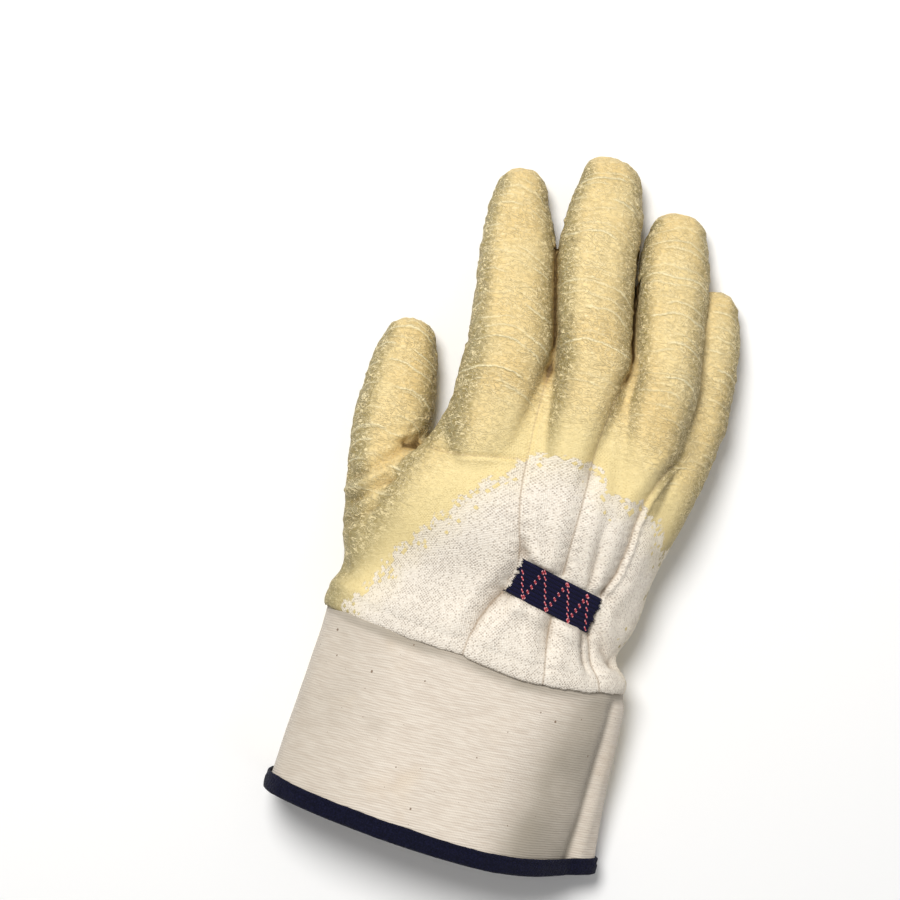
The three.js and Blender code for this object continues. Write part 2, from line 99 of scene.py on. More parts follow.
floor_mesh = bpy.data.meshes.new("floor")
floor_mesh.from_pydata([(-4, -4, 0), (4, -4, 0), (4, 4, 0), (-4, 4, 0)], [], [(0, 1, 2, 3)])
floor = bpy.data.objects.new("floor", floor_mesh)
scene.collection.objects.link(floor)
floor_material = bpy.data.materials.new("floor_paper")
floor_material.use_nodes = True
paper = floor_material.node_tree.nodes["Principled BSDF"].inputs
paper["Base Color"].default_value = (0.95, 0.95, 0.95, 1)
paper["Roughness"].default_value = 0.9
floor_mesh.materials.append(floor_material)
floor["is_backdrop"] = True


# The coated jersey of the hand: undyed cotton jersey whose palm, fingers and thumb were dipped in latex that
# was crinkled as it set. The bare back shows the knit with its dark flecks, and the latex bleeds into it in
# ragged blocks and drops. One material serves both, because the edge of the latex is only where it soaked to.
# The short ways below add nodes to the tree that is being built: they take sockets or plain numbers.
def node(kind, inputs, **settings):
    """A new node: its outputs."""
    made = tree.nodes.new("ShaderNode" + kind)
    for key, value in settings.items():
        setattr(made, key, value)
    for key, value in inputs.items():
        if isinstance(value, bpy.types.NodeSocket):
            tree.links.new(value, made.inputs[key])
        else:
            made.inputs[key].default_value = value
    return made.outputs


def maths(operation, a, b=0.0, c=0.0):
    return node("Math", {0: a, 1: b, 2: c}, operation=operation)[0]


def times(a, b):
    return maths("MULTIPLY", a, b)


def plus(a, b):
    return maths("ADD", a, b)


def times_plus(a, b, c):
    return maths("MULTIPLY_ADD", a, b, c)


def vector(operation, a, b):
    return node("VectorMath", {0: a, "Scale" if operation == "SCALE" else 1: b}, operation=operation)[0]


def turned_by(place, angle):
    return node("VectorRotate", {"Vector": place, "Angle": angle}, rotation_type="Z_AXIS")[0]


def ramp(value, low, high, to_low=0.0, to_high=1.0):
    limits = {0: value, 1: low, 2: high, 3: to_low, 4: to_high}
    return node("MapRange", limits, interpolation_type="SMOOTHSTEP")[0]


def noisy(place, scale, detail, **more):
    return node("TexNoise", {"Vector": place, "Scale": scale, "Detail": detail, **more})


def cells(place, scale, randomness=1.0):
    even = {"Vector": place, "Scale": scale, "Randomness": randomness}
    return node("TexVoronoi", even, voronoi_dimensions="2D")


def dice_of(found):
    return node("SeparateColor", {0: found["Color"]})


def mix(factor, a, b):
    a, b = ((*colour, 1) if isinstance(colour, tuple) else colour for colour in (a, b))
    return node("Mix", {0: factor, 6: a, 7: b}, data_type="RGBA")[2]


def layered(colour, *layers):
    """A colour with others laid over it one by one, each through its mask."""
    for mask, over in layers:
        colour = mix(mask, colour, over)
    return colour


def group(name, inputs, outputs):
    """A new node group and what its inputs give; an input with no number is a place."""
    made = bpy.data.node_groups.new(name, "ShaderNodeTree")
    for label, value in inputs.items():
        kind = "NodeSocketVector" if value is None else "NodeSocketFloat"
        socket = made.interface.new_socket(label, in_out="INPUT", socket_type=kind)
        if value is not None:
            socket.default_value = value
    for label in outputs:
        made.interface.new_socket(label, in_out="OUTPUT", socket_type="NodeSocketFloat")
    made.nodes.new("NodeGroupOutput")
    return made, made.nodes.new("NodeGroupInput").outputs


def give(**outputs):
    for label, socket in outputs.items():
        tree.links.new(socket, tree.nodes["Group Output"].inputs[label])


def use(made, **inputs):
    return node("Group", inputs, node_tree=made)


def place_in_part():
    """Where a spot of the surface is, in millimetres."""
    return vector("SCALE", node("TexCoord", {})["Object"], 1000.0)


def place_on_cloth():
    """Where a spot lies on the flat cloth, in millimetres."""
    return vector("SCALE", node("UVMap", {}, uv_map="cloth")[0], 1000.0)


def new_material(name, **levels):
    """A new material with its shader's plain levels set, and its tree."""
    made = bpy.data.materials.new(name)
    made.use_nodes = True
    for key, value in levels.items():
        made.node_tree.nodes["Principled BSDF"].inputs[key.replace("_", " ")].default_value = value
    return made, made.node_tree


def to_shader(colour, height, distance):
    """Gives the material its colour and its relief, whose unit is that many metres."""
    surface = tree.nodes["Principled BSDF"].inputs
    tree.links.new(colour, surface["Base Color"])
    tree.links.new(node("Bump", {"Height": height, "Distance": distance})[0], surface["Normal"])


# Crinkled latex: worm-like ridges about a millimetre apart over a fine grain, in millimetres of the surface
crinkle, given = group("crinkled_latex", {"Place": None, "Amount": 1.0}, ("Height", "Ridge", "Pit"))
tree = crinkle


def worms(scale, distortion, width):
    """Thin curved lines where a smooth field passes its middle value."""
    drawn_out = vector("MULTIPLY", given["Place"], (0.66, 1.3, 0.66))
    middle = noisy(drawn_out, scale, 0.0, Distortion=distortion)[0]
    return ramp(maths("ABSOLUTE", maths("SUBTRACT", middle, 0.5)), 0.0, width, 1.0, 0.0)


narrow = worms(0.58, 1.3, 0.085)
grain, patches, shade = (noisy(given["Place"], *of)[0] for of in ((1.1, 1.0), (0.07, 2.0), (0.55, 1.0)))
broad = times(worms(0.33, 1.6, 0.055), ramp(patches, 0.38, 0.6, 0.35, 1.0))
ridges = maths("MAXIMUM", broad, times(narrow, 0.75))
height = times_plus(broad, 0.6, times_plus(narrow, 0.5, times(grain, 0.2)))
# Pit: the recesses between the ridges, where the latex's colour lays painted shade
pit = times(maths("SUBTRACT", 1.0, ridges), ramp(shade, 0.62, 0.36))
for label, part in (("Height", height), ("Ridge", ridges), ("Pit", pit)):
    give(**{label: times(part, given["Amount"])})

# Long thin ridges round a finger: lines at uneven steps along it, each broken off in places. Shaded gives the same
# lines set a little towards the wrist, where the latex's colour paints the shadow under each ridge.
hoops, given = group("long_ridges", {"Place": None, "Along": 0.0}, ("Ridge", "Shaded"))
tree = hoops
sway, shake = noisy(given["Place"], 0.06, 1.0)[0], noisy(given["Place"], 0.4, 2.0)[0]
swayed = times_plus(sway, 7.0, times_plus(shake, 1.3, given["Along"]))


def lines(pitch, width, part, lower):
    at = maths("DIVIDE", plus(swayed, lower), pitch)
    steps = node("TexVoronoi", {"W": at, "Scale": 1.0, "Randomness": 0.85}, voronoi_dimensions="1D")
    away = times(steps["Distance"], pitch / width)
    line = maths("POWER", math.e, times(times(away, away), -1.0))
    spot = vector("ADD", given["Place"], vector("SCALE", steps["Color"], 90.0))
    broken = ramp(noisy(spot, 0.055, 1.0)[0], part, part + 0.1)
    return times(line, times(ramp(dice_of(steps)[0], 0.05, 0.55, 0.3, 1.0), broken))


for label, lower in (("Ridge", 0.0), ("Shaded", 0.62)):
    long_lines, short_lines = lines(8.2, 0.42, 0.4, lower), lines(4.4, 0.34, 0.48, lower)
    give(**{label: maths("MAXIMUM", long_lines, times(short_lines, 0.6))})

# Cotton cloth: rows of small loops on the slant, with dark flecks between them
cloth_sizes = {"Place": None, "Pitch": 0.75, "Slant": 0.6}
knit, given = group("flecked_jersey", cloth_sizes, ("Height", "Fleck", "Fuzz"))
tree = knit
wobble = vector("SCALE", noisy(given["Place"], 0.12, 2.0)["Color"], 1.6)
turned = turned_by(vector("ADD", given["Place"], wobble), given["Slant"])
axes = node("SeparateXYZ", {0: vector("SCALE", turned, maths("DIVIDE", 1.0, given["Pitch"]))})
loops = times(*(maths("SINE", times(axes[k], 2 * math.pi)) for k in (0, 1)))
spots = cells(node("CombineXYZ", {0: axes[0], 1: axes[1]})[0], 1.0, 0.16)
chance = plus(dice_of(spots)[0], times_plus(noisy(given["Place"], 0.1, 2.0)[0], 1.2, -0.6))
fleck = times(ramp(spots["Distance"], 0.46, 0.14), ramp(chance, 0.15, 0.85))
fuzz = noisy(given["Place"], 1.3, 3.0)[0]
give(Height=times_plus(loops, 0.5, times_plus(fuzz, 0.8, times(fleck, -0.9))), Fleck=fleck, Fuzz=fuzz)

# Where the latex has soaked to: 1 on latex and 0 on bare cloth, ragged in small blocks along the rows
soak, given = group("latex_edge", {"Place": None, "Reach": 0.0}, ("Coated", "Stain"))
tree = soak
blocks = cells(vector("MULTIPLY", turned_by(given["Place"], 0.62), (1.0, 1.0, 0.0)), 0.72, 0.35)
reach = plus(given["Reach"], times_plus(noisy(given["Place"], 0.17, 3.0)[0], 10.0, -5.0))
drops = times(maths("LOGARITHM", maths("MAXIMUM", dice_of(blocks)[0], 0.003), math.e), -2.3)
give(Coated=ramp(plus(reach, maths("SUBTRACT", drops, 3.0)), -0.7, 0.7), Stain=ramp(reach, -12.0, 0.0))

hand_material, tree = new_material("coated_jersey", Specular_IOR_Level=0.25)


def field(name):
    return node("Attribute", {}, attribute_name=name)["Fac"]


place = place_in_part()
reach, along, ringed, hollow_shade, turned = map(field, ("coat", "along", "ringed", "hollow_shade", "turned"))
# The cloth's own places: as if the sides of the hand were laid out flat beside its back
axes = node("SeparateXYZ", {0: place})
sideways = times(maths("SUBTRACT", 40.0, axes[2]), ramp(axes[0], -45.0, 45.0, -1.0, 1.0))
laid_out = node("CombineXYZ", {0: plus(axes[0], sideways), 1: axes[1], 2: axes[2]})[0]
edge = use(soak, Place=laid_out, Reach=reach)
cloth = use(knit, Place=laid_out, Pitch=0.88, Slant=0.62)
# Painted shade on the sides: leftward and rightward say how far a place faces left or right in the camera's frame. The
# colour darkens those sides, and steep also deepens the crinkle's relief there
leftward, rightward = ramp(turned, -0.22, -0.85), ramp(turned, 0.35, 0.95)
steep = maths("MAXIMUM", leftward, times(rightward, 0.75))
amount = ramp(reach, 1.0, 26.0, 0.2, 1.0)
net = use(crinkle, Place=place, Amount=amount)
raised = use(hoops, Place=place, Along=along)
ridge, shaded = (times(raised[label], times(ringed, amount)) for label in ("Ridge", "Shaded"))
latex = layered(
    mix(ramp(noisy(place, 0.04, 3.0)[0], 0.36, 0.64), (0.79, 0.59, 0.265), (0.84, 0.66, 0.325)),
    (ramp(reach, 32.0, 6.0), (0.845, 0.69, 0.345)),
    # painted shade on the sides that face left and right, all but the crinkle's ridges
    (times(leftward, ramp(net["Ridge"], 0.0, 0.7, 0.92, 0.12)), (0.3, 0.26, 0.13)),
    (times(rightward, ramp(net["Ridge"], 0.0, 0.7, 0.78, 0.08)), (0.35, 0.28, 0.135)),
    # painted shade in the crinkle's recesses, stronger on the sides
    (times(net["Pit"], ramp(steep, 0.0, 0.8, 0.2, 0.95)), (0.34, 0.26, 0.1)),
    # painted highlight on the crinkle's ridges, stronger on the sides
    (times(net["Ridge"], ramp(steep, 0.0, 1.0, 0.42, 0.85)), (0.95, 0.83, 0.52)),
    # painted shadow just under each long ridge
    (times(shaded, 0.5), (0.5, 0.37, 0.14)),
    # painted highlight along the crest of each long ridge
    (times(ridge, 0.72), (0.97, 0.87, 0.56)),
    (times(cloth["Fleck"], ramp(reach, 18.0, 1.0, 0.0, 0.42)), (0.6, 0.43, 0.16)),
    # painted shade in the hollows and in thin lines along the forks, darkest where deepest
    (ramp(hollow_shade, 0.25, 1.0, 0.0, 0.75), (0.4, 0.26, 0.09)),
    (ramp(hollow_shade, 0.8, 1.0, 0.0, 0.9), (0.1, 0.055, 0.015)),
)
jersey = layered(
    mix(ramp(cloth["Fuzz"], 0.32, 0.68), (0.85, 0.77, 0.66), (0.95, 0.88, 0.775)),
    (times(cloth["Fleck"], 0.6), (0.36, 0.28, 0.22)),
    (times(edge["Stain"], 0.2), (0.9, 0.76, 0.42)),
    # painted shade in the cloth's hollows
    (times(hollow_shade, 0.7), (0.3, 0.22, 0.15)),
)
colour = mix(edge["Coated"], jersey, latex)
# A dotted line of painted shade along each seam, weaker over the latex
seam_shade = times(times(ramp(cloth["Fuzz"], 0.3, 0.6, 0.5, 1.0), 0.6), ramp(edge["Coated"], 0.0, 1.0, 0.9, 0.6))
for number in (1, 2, 3, 4):
    seam = maths("ABSOLUTE", field(f"seam_{number}"))
    colour = mix(times(ramp(seam, 0.6, 0.1), seam_shade), colour, (0.36, 0.25, 0.15))
tree.links.new(ramp(edge["Coated"], 0.0, 1.0, 0.95, 0.6), tree.nodes["Principled BSDF"].inputs["Roughness"])
latex_height = times(net["Height"], ramp(steep, 0.0, 1.0, 0.85, 1.5))
latex_height = times_plus(times_plus(ridge, 0.8, latex_height), 0.36, 0.14)
latex_height = times_plus(cloth["Height"], ramp(reach, 24.0, 2.0, 0.0, 0.11), latex_height)
heights = {0: edge["Coated"], 2: times(cloth["Height"], 0.2), 3: latex_height}
to_shader(colour, node("Mix", heights, data_type="FLOAT")[0], 0.001)


# The skin of the hand: the palm and back, four fingers and the thumb, as closed lofts that are melted into
# one skin, then drawn in along the seams of the back, gathered at the elastic and crinkled. Lengths are in
# millimetres from the wrist seam's middle, with the fingers along +Y, and placed in the frame afterwards.
palm_length, palm_width, palm_height, palm_lift = 124, 126, 45, 21
hem_reach, hem_shift = 71.7, 2.0
low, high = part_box("safety_cuff")
shift = np.array([(low[0] + high[0]) * 500 - hem_shift, low[1] * 1000 + hem_reach, 0.0])
# along, left, right, up, tall, fall: shares of the palm's length, width and height
palm_rows = np.array([
    (0, -0.483, 0.472, 0.003, 0.43, 0), (0.03, -0.488, 0.48, 0.013, 0.453, 0),
    (0.06, -0.492, 0.482, 0.02, 0.469, 0), (0.1, -0.492, 0.448, 0.02, 0.473, 0),
    (0.14, -0.47, 0.422, 0.012, 0.466, 0), (0.19, -0.455, 0.445, -0.001, 0.452, 0.02),
    (0.24, -0.452, 0.46, -0.004, 0.449, 0.03), (0.29, -0.455, 0.47, 0.007, 0.46, 0.05),
    (0.34, -0.455, 0.47, 0.031, 0.48, 0.07), (0.39, -0.45, 0.47, 0.063, 0.503, 0.09),
    (0.45, -0.435, 0.481, 0.094, 0.517, 0.12), (0.52, -0.405, 0.493, 0.128, 0.506, 0.15),
    (0.6, -0.362, 0.513, 0.156, 0.456, 0.2), (0.68, -0.312, 0.532, 0.189, 0.389, 0.24),
    (0.77, -0.288, 0.547, 0.222, 0.333, 0.27), (0.86, -0.28, 0.552, 0.25, 0.272, 0.28),
    (0.94, -0.25, 0.51, 0.267, 0.2, 0.26), (1, -0.18, 0.42, 0.267, 0.089, 0.2),
])
# length, width, thickness, lean, drop; then heel, knuckle and root as across, along, up, wide, thick; then
# rows of along, lean, drop, wide, thick
digit_table = {
    "index": ((71, 34, 31, -12.3, 26.4),
              ((-0.135, 0.42, 0.15, 0.8, 0.85), (-0.15, 0.7, 0.3, 0.95, 0.95), (-0.155, 1, 0.322)),
              ((0, 0, 0, 1, 1), (0.18, 0.17, 0.12, 0.96, 0.97), (0.45, 0.48, 0.44, 0.93, 0.94),
               (0.62, 0.66, 0.7, 0.87, 0.87), (0.75, 0.83, 0.86, 0.77, 0.78), (0.84, 0.93, 0.94, 0.63, 0.66))),
    "middle": ((83, 31, 31, -13.5, 26.9),
               ((0.12, 0.42, 0.16, 0.85, 0.85), (0.11, 0.7, 0.32, 0.93, 0.95), (0.11, 1.01, 0.333)),
               ((0, 0, 0, 1, 1), (0.13, 0.22, 0.09, 1.01, 0.98), (0.37, 0.57, 0.3, 1.02, 0.96),
                (0.62, 0.79, 0.6, 1.02, 0.93), (0.75, 0.83, 0.79, 0.95, 0.84), (0.87, 0.88, 0.93, 0.8, 0.7))),
    "ring": ((72, 28, 28, -9, 25),
             ((0.32, 0.42, 0.1, 0.9, 0.9), (0.325, 0.7, 0.25, 0.97, 1), (0.333, 0.985, 0.27)),
             ((0, 0, 0, 1, 1), (0.2, 0.16, 0.14, 1, 0.97), (0.47, 0.53, 0.44, 1.02, 0.94),
              (0.63, 0.68, 0.68, 1.03, 0.9), (0.77, 0.88, 0.86, 0.98, 0.8), (0.87, 0.94, 0.95, 0.84, 0.66))),
    "little": ((56.6, 24.4, 23.5, -3.2, 9.6),
               ((0.36, 0.4, 0.03, 0.95, 1), (0.418, 0.62, 0.05, 1.02, 1.15), (0.468, 0.9, -0.06)),
               ((0, 0, 0, 1, 1), (0.22, -0.02, 0.2, 0.96, 0.97), (0.43, 0.15, 0.42, 0.94, 0.95),
                (0.65, 0.5, 0.68, 0.91, 0.92), (0.79, 0.85, 0.86, 0.85, 0.84), (0.88, 0.95, 0.94, 0.7, 0.7))),
    "thumb": ((46.5, 31, 29, -2.6, 5),
              ((-0.335, 0.2, 0, 0.8, 0.85), (-0.402, 0.43, -0.06, 0.98, 1.05), (-0.44, 0.637, -0.12)),
              ((0, 0, 0, 1, 1), (0.27, 0.3, 0.3, 0.98, 0.95), (0.5, 0.58, 0.56, 0.91, 0.87),
               (0.68, 0.78, 0.76, 0.81, 0.77), (0.82, 0.9, 0.9, 0.66, 0.65))),
}


def smooth(value, start, end):
    t = np.clip((value - start) / (end - start), 0, 1)
    return t * t * (3 - 2 * t)


def spline(points, count):
    """A smooth curve through rows of numbers, at evenly counted places."""
    p = np.asarray(points, float)
    at = np.linspace(0, len(p) - 1, count)
    i = np.minimum(at.astype(int), len(p) - 2)
    t = (at - i)[:, None]
    a, b, c, d = p[np.maximum(i - 1, 0)], p[i], p[i + 1], p[np.minimum(i + 2, len(p) - 1)]
    return 0.5 * (2 * b + (c - a) * t + (2 * a - 5 * b + 4 * c - d) * t ** 2 + (3 * b - a - 3 * c + d) * t ** 3)


def bell(away, width, power=2):
    return np.exp(-np.abs(away / width) ** power)


def ring_quads(rows, count, steps):
    """Four-sided faces from ring to ring of points; as many steps as rows joins the last ring to the first."""
    i, r = np.meshgrid(np.arange(count), np.arange(steps))
    j, here, there = (i + 1) % count, r * count, (r + 1) % rows * count
    return np.stack([here + i, here + j, there + j, there + i], -1).reshape(-1, 4)


def loft(rings):
    """Points and faces of a closed loft through rings of equal count."""
    rings = np.asarray(rings)
    rows, count, _ = rings.shape
    points = np.concatenate([rings.reshape(-1, 3), rings[:1].mean(1), rings[-1:].mean(1)])
    k = np.arange(count)
    start = np.stack([(k + 1) % count, k, np.full(count, rows * count)], -1)
    end = np.stack([k, (k + 1) % count, np.full(count, rows * count + 1)], -1)
    end[:, :2] += (rows - 1) * count
    faces = ring_quads(rows, count, rows - 1).tolist() + start.tolist() + end.tolist()
    return points, [tuple(face) for face in faces]


def rounded(count, whole=False):
    """Across and up, from -1 to 1, round a ring whose shape lies between a circle and a box."""
    turn = np.linspace(0, 2 * math.pi, count, endpoint=whole)
    return [np.sign(part) * np.abs(part) ** (2 / 2.4) for part in (np.cos(turn), np.sin(turn))]


def wrist_rise(x):
    across = np.clip(x / 60.5, -1, 1)
    away = across - 0.2
    return np.where(away < 0, (away / 1.2) ** 2 * 6, (away / 0.8) ** 2 * 3.2)


def lip_rise(x):
    """How far the turned end of the hand is drawn up over the back and the palm, place by place."""
    return np.interp(x, (-60, -40, -18, -6, 6, 20, 44, 60), (3.2, 3.8, 4.5, 5.2, 3.6, 1.9, 3.0, 3.3))


def palm_loft(grow, reach):
    along = np.linspace(0, 1, 90)
    rows = np.array([np.interp(along, palm_rows[:, 0], palm_rows[:, k]) for k in range(1, 6)])
    kernel = bell(np.arange(-6, 7), 2.2)
    kernel /= kernel.sum()
    rows = np.array([np.convolve(np.pad(row, 6, mode="edge"), kernel, "valid") for row in rows])
    across, rise = rounded(200)
    rings = []
    for share, (left, right, up, tall, fall) in zip(along, rows.T):
        x = (left + right) / 2 * palm_width + ((right - left) / 2 * palm_width + grow) * across
        y = share * palm_length + wrist_rise(x) * max(0, 1 - share / 0.25)
        if share == 0:
            y = y - reach
        z = palm_lift + up * palm_height + (tall * palm_height + grow) * rise
        z = z - fall * palm_height * np.maximum(across, 0) ** 2
        rings.append(np.stack([x, y, z], -1))
    return loft(rings)


def digit_path(name):
    (length, width, thickness, lean, drop), (heel, knuckle, root), rows = digit_table[name]
    base = np.array([root[0] * palm_width, root[1] * palm_length, palm_lift + root[2] * palm_height])
    points = np.array([
        *((x * palm_width, y * palm_length, palm_lift + up * palm_height, *size) for x, y, up, *size in (heel, knuckle)),
        *((base[0] + x * lean, base[1] + y * length, base[2] - down * drop, *size) for y, x, down, *size in rows),
    ])
    points[:, 3] *= width / 2
    points[:, 4] *= thickness / 2
    return points, base + np.array([lean, length, -drop])


def digit_loft(name, grow, count=64):
    points, tip = digit_path(name)
    stations = spline(points, 70)
    last = stations[-1]
    turns = np.linspace(0, 1, 18)[1:] * math.pi / 2
    dome = [[*(last[:3] + (tip - last[:3]) * math.sin(t)), *(last[3:] * math.cos(t) ** 0.9)] for t in turns]
    share = np.concatenate([np.ones(len(stations)), np.cos(turns)])[:, None]
    x, y, z, wide, thick = np.concatenate([stations, dome]).T[:, :, None]
    turn = np.linspace(0, 2 * math.pi, count, endpoint=False)
    rings = np.stack(np.broadcast_arrays(
        x + (wide + grow * share) * np.cos(turn), y + (1 - share) * grow, z + (thick + grow * share) * np.sin(turn)
    ), -1)
    return loft(rings)


def melted(grow, reach, voxel):
    """One skin round the palm and the digits: points in millimetres and four-sided faces."""
    points, faces, start = [], [], 0
    for p, f in [palm_loft(grow, reach)] + [digit_loft(name, grow) for name in digit_table]:
        points.append(p)
        faces += [tuple(v + start for v in face) for face in f]
        start += len(p)
    mesh = bpy.data.meshes.new("melt")
    mesh.from_pydata((np.concatenate(points) * 0.001).tolist(), [], faces)
    thing = bpy.data.objects.new("melt", mesh)
    scene.collection.objects.link(thing)
    remesh = thing.modifiers.new("melt", "REMESH")
    remesh.mode = "VOXEL"
    remesh.voxel_size = voxel * 0.001
    out = thing.evaluated_get(bpy.context.evaluated_depsgraph_get()).to_mesh()
    co = np.empty(len(out.vertices) * 3)
    out.vertices.foreach_get("co", co)
    quads = np.array([tuple(p.vertices) for p in out.polygons if len(p.vertices) == 4])
    thing.to_mesh_clear()
    bpy.data.objects.remove(thing)
    bpy.data.meshes.remove(mesh)
    return co.reshape(-1, 3) * 1000, quads


def relaxed(co, quads, rounds, factor=0.5):
    """The points drawn towards the middle of their neighbours; factor may differ from point to point."""
    a = quads[:, [0, 1, 2, 3]].ravel()
    b = quads[:, [1, 2, 3, 0]].ravel()
    start, end = np.concatenate([a, b]), np.concatenate([b, a])
    count = np.bincount(start, minlength=len(co))[:, None]
    factor = np.broadcast_to(np.asarray(factor, float).reshape(-1, 1), (len(co), 1))
    for _ in range(rounds):
        sums = [np.bincount(start, weights=co[end, k], minlength=len(co)) for k in range(3)]
        co = co + (np.stack(sums, -1) / count - co) * factor
    return co


def evened(values, quads, rounds):
    """One number for each point, drawn towards those of its neighbours."""
    return relaxed(np.stack([values] * 3, -1), quads, rounds)[:, 0]


def normals_of(co, quads):
    diagonal = np.cross(co[quads[:, 2]] - co[quads[:, 0]], co[quads[:, 3]] - co[quads[:, 1]])
    total = np.zeros_like(co)
    for k in range(4):
        for c in range(3):
            total[:, c] += np.bincount(quads[:, k], weights=diagonal[:, c], minlength=len(co))
    return total / np.maximum(np.linalg.norm(total, axis=1), 1e-9)[:, None]


def noise(points, scale, seed):
    """Smooth noise from -1 to 1, with features about scale millimetres across."""
    table = np.random.default_rng(seed).uniform(-1, 1, 8192)
    p = points / scale + 1000
    i = np.floor(p).astype(np.int64)
    f = p - i
    f = f * f * (3 - 2 * f)
    total = 0
    for corner in np.ndindex(2, 2, 2):
        key = np.bitwise_xor.reduce((i + corner) * (73856093, 19349663, 83492791), axis=1)
        total = total + table[key & 8191] * np.where(corner, f, 1 - f).prod(axis=1)
    return total


def line_distance(xy, line):
    """Distance to a bent line, which side of it (positive to its right) and how far along it, 0 to 1."""
    line = np.asarray(line, float)
    best = np.full(len(xy), 1e9)
    side, share = np.zeros(len(xy)), np.zeros(len(xy))
    lengths = np.linalg.norm(np.diff(line, axis=0), axis=1)
    before = np.concatenate([[0], np.cumsum(lengths)]) / lengths.sum()
    for k in range(len(line) - 1):
        a, d = line[k], line[k + 1] - line[k]
        t = np.clip(((xy - a) @ d) / (d @ d), 0, 1)
        away = xy - a - t[:, None] * d
        length = np.linalg.norm(away, axis=1)
        near = length < best
        best = np.where(near, length, best)
        side = np.where(near, np.sign(d[1] * (xy[:, 0] - a[0]) - d[0] * (xy[:, 1] - a[1])), side)
        share = np.where(near, before[k] + t * (before[k + 1] - before[k]), share)
    return best, side, share


# The three sewn seams of the back run from the wrist through the elastic to the forks of the fingers
index_seam = [(-5.0, 1), (-4.4, 11), (-2.6, 20), (0.5, 27), (4.6, 33), (6.4, 42), (5.0, 50), (1.8, 60), (-0.3, 69),
              (-1.3, 77), (-1.8, 86), (-2.6, 97), (-2.6, 110), (-2.2, 122)]
middle_seam = [(27.8, 1), (26.2, 13), (24.9, 23), (24.4, 34), (24.5, 45), (23.9, 56), (23.7, 70), (23.4, 85),
               (23.6, 98), (25.6, 114), (28.2, 127)]
ring_seam = [(50.2, 2), (47.5, 10), (44.0, 19.5), (40.8, 27), (40.6, 36), (42.6, 43), (45.2, 50), (46.3, 60),
             (46.4, 70), (47.4, 80), (50.4, 88), (54.5, 97)]
# Each valley: its line, its depth at shares of its length, half its width, and how sharp its bottom is
valleys = [
    (index_seam, ((0, 0.1), (0.12, 2.6), (0.22, 4.2), (0.3, 3.6), (0.45, 1.5), (0.7, 1.0), (1, 1.3)), 3.2, 1.3),
    (middle_seam, ((0, 0.1), (0.15, 2.6), (0.25, 3.4), (0.38, 2.6), (0.55, 1.5), (0.8, 1.1), (1, 1.4)), 2.9, 1.3),
    (ring_seam, ((0, 0.1), (0.15, 3.0), (0.28, 4.0), (0.38, 3.2), (0.6, 2.4), (0.8, 2.0), (1, 2.0)), 2.8, 1.3),
    ([(38.2, 26), (40, 19), (43.9, 10), (46, 4)], ((0, 3.0), (0.5, 3.4), (1, 0.1)), 1.9, 1.4),
    ([(8.0, 32.5), (5.6, 26), (3.6, 20), (3.2, 14)], ((0, 2.2), (0.4, 1.9), (1, 0)), 2.4, 1.6),
    ([(9.4, 44), (6.8, 50), (4.7, 57), (4.2, 62)], ((0, 3.0), (0.5, 1.8), (1, 0)), 1.7, 1.4),
    ([(21, 46), (16, 54), (11.6, 60), (9, 70)], ((0, 0.6), (0.4, 1.5), (1, 0.4)), 4.2, 2.0),
    ([(30.8, 44), (29, 54), (27.4, 66)], ((0, 2.0), (0.5, 1.5), (1, 0)), 3.0, 2.0),
    ([(35.6, 41), (35.6, 50), (34.6, 62), (34.8, 74)], ((0, 3.4), (0.35, 2.6), (1, 0)), 2.2, 1.4),
    ([(44, 27.5), (47.6, 22.6), (51.5, 17.8), (56, 15)], ((0, 1.8), (0.5, 4.2), (1, 3.4)), 3.2, 1.5),
    ([(44, 40), (50, 35), (58, 31.5)], ((0, 1.8), (0.5, 1.6), (1, 0.6)), 3.0, 1.8),
    ([(1, 33), (-8, 28), (-18, 20)], ((0, 1.2), (0.4, 0.8), (1, 0)), 3.4, 2.0),
    ([(-42.5, 80.5), (-47.1, 77.2), (-51.5, 71.4), (-57, 65.8), (-62.5, 61), (-68, 57)],
     ((0, 3.4), (0.2, 3.0), (0.6, 2.8), (1, 2.8)), 2.4, 1.6),
    ([(-43, 76), (-48.5, 69.4), (-54.5, 62.9), (-60, 57.3), (-66, 52)], ((0, -0.4), (0.4, -1.6), (1, -1.8)), 2.1, 2.0),
    ([(-44, 70.4), (-48.9, 64.2), (-53.8, 59), (-58.8, 53.2), (-66, 46)], ((0, 0.4), (0.4, 2.6), (1, 2.8)), 1.8, 1.5),
    ([(-45.4, 62), (-48.5, 57), (-53, 50.8), (-57.5, 44.6), (-64, 37)], ((0, 0.2), (0.35, 2.4), (1, 2.8)), 2.0, 1.5),
    ([(-47, 57), (-50.8, 50), (-55, 43.4), (-61, 35.5)], ((0, 0), (0.4, -1.1), (1, -1.2)), 2.0, 2.0),
    ([(-47.3, 78), (-57, 75), (-63, 71.9), (-69, 65)], ((0, 1.6), (0.4, 0.8), (1, 0.5)), 1.3, 1.5),
    ([(-46.5, 83), (-56, 80.5), (-66, 76.5)], ((0, 1.6), (0.5, 0.6), (1, 0.4)), 1.3, 1.5),
    ([(-61, 28), (-55.6, 22), (-50, 21)], ((0, 2.2), (0.5, 1.4), (1, 0)), 4.0, 2.0),
]
cross_seam = [(-40.5, 78.6), (-36, 78), (-26.8, 78.4), (-14, 81), (-1.8, 84)]
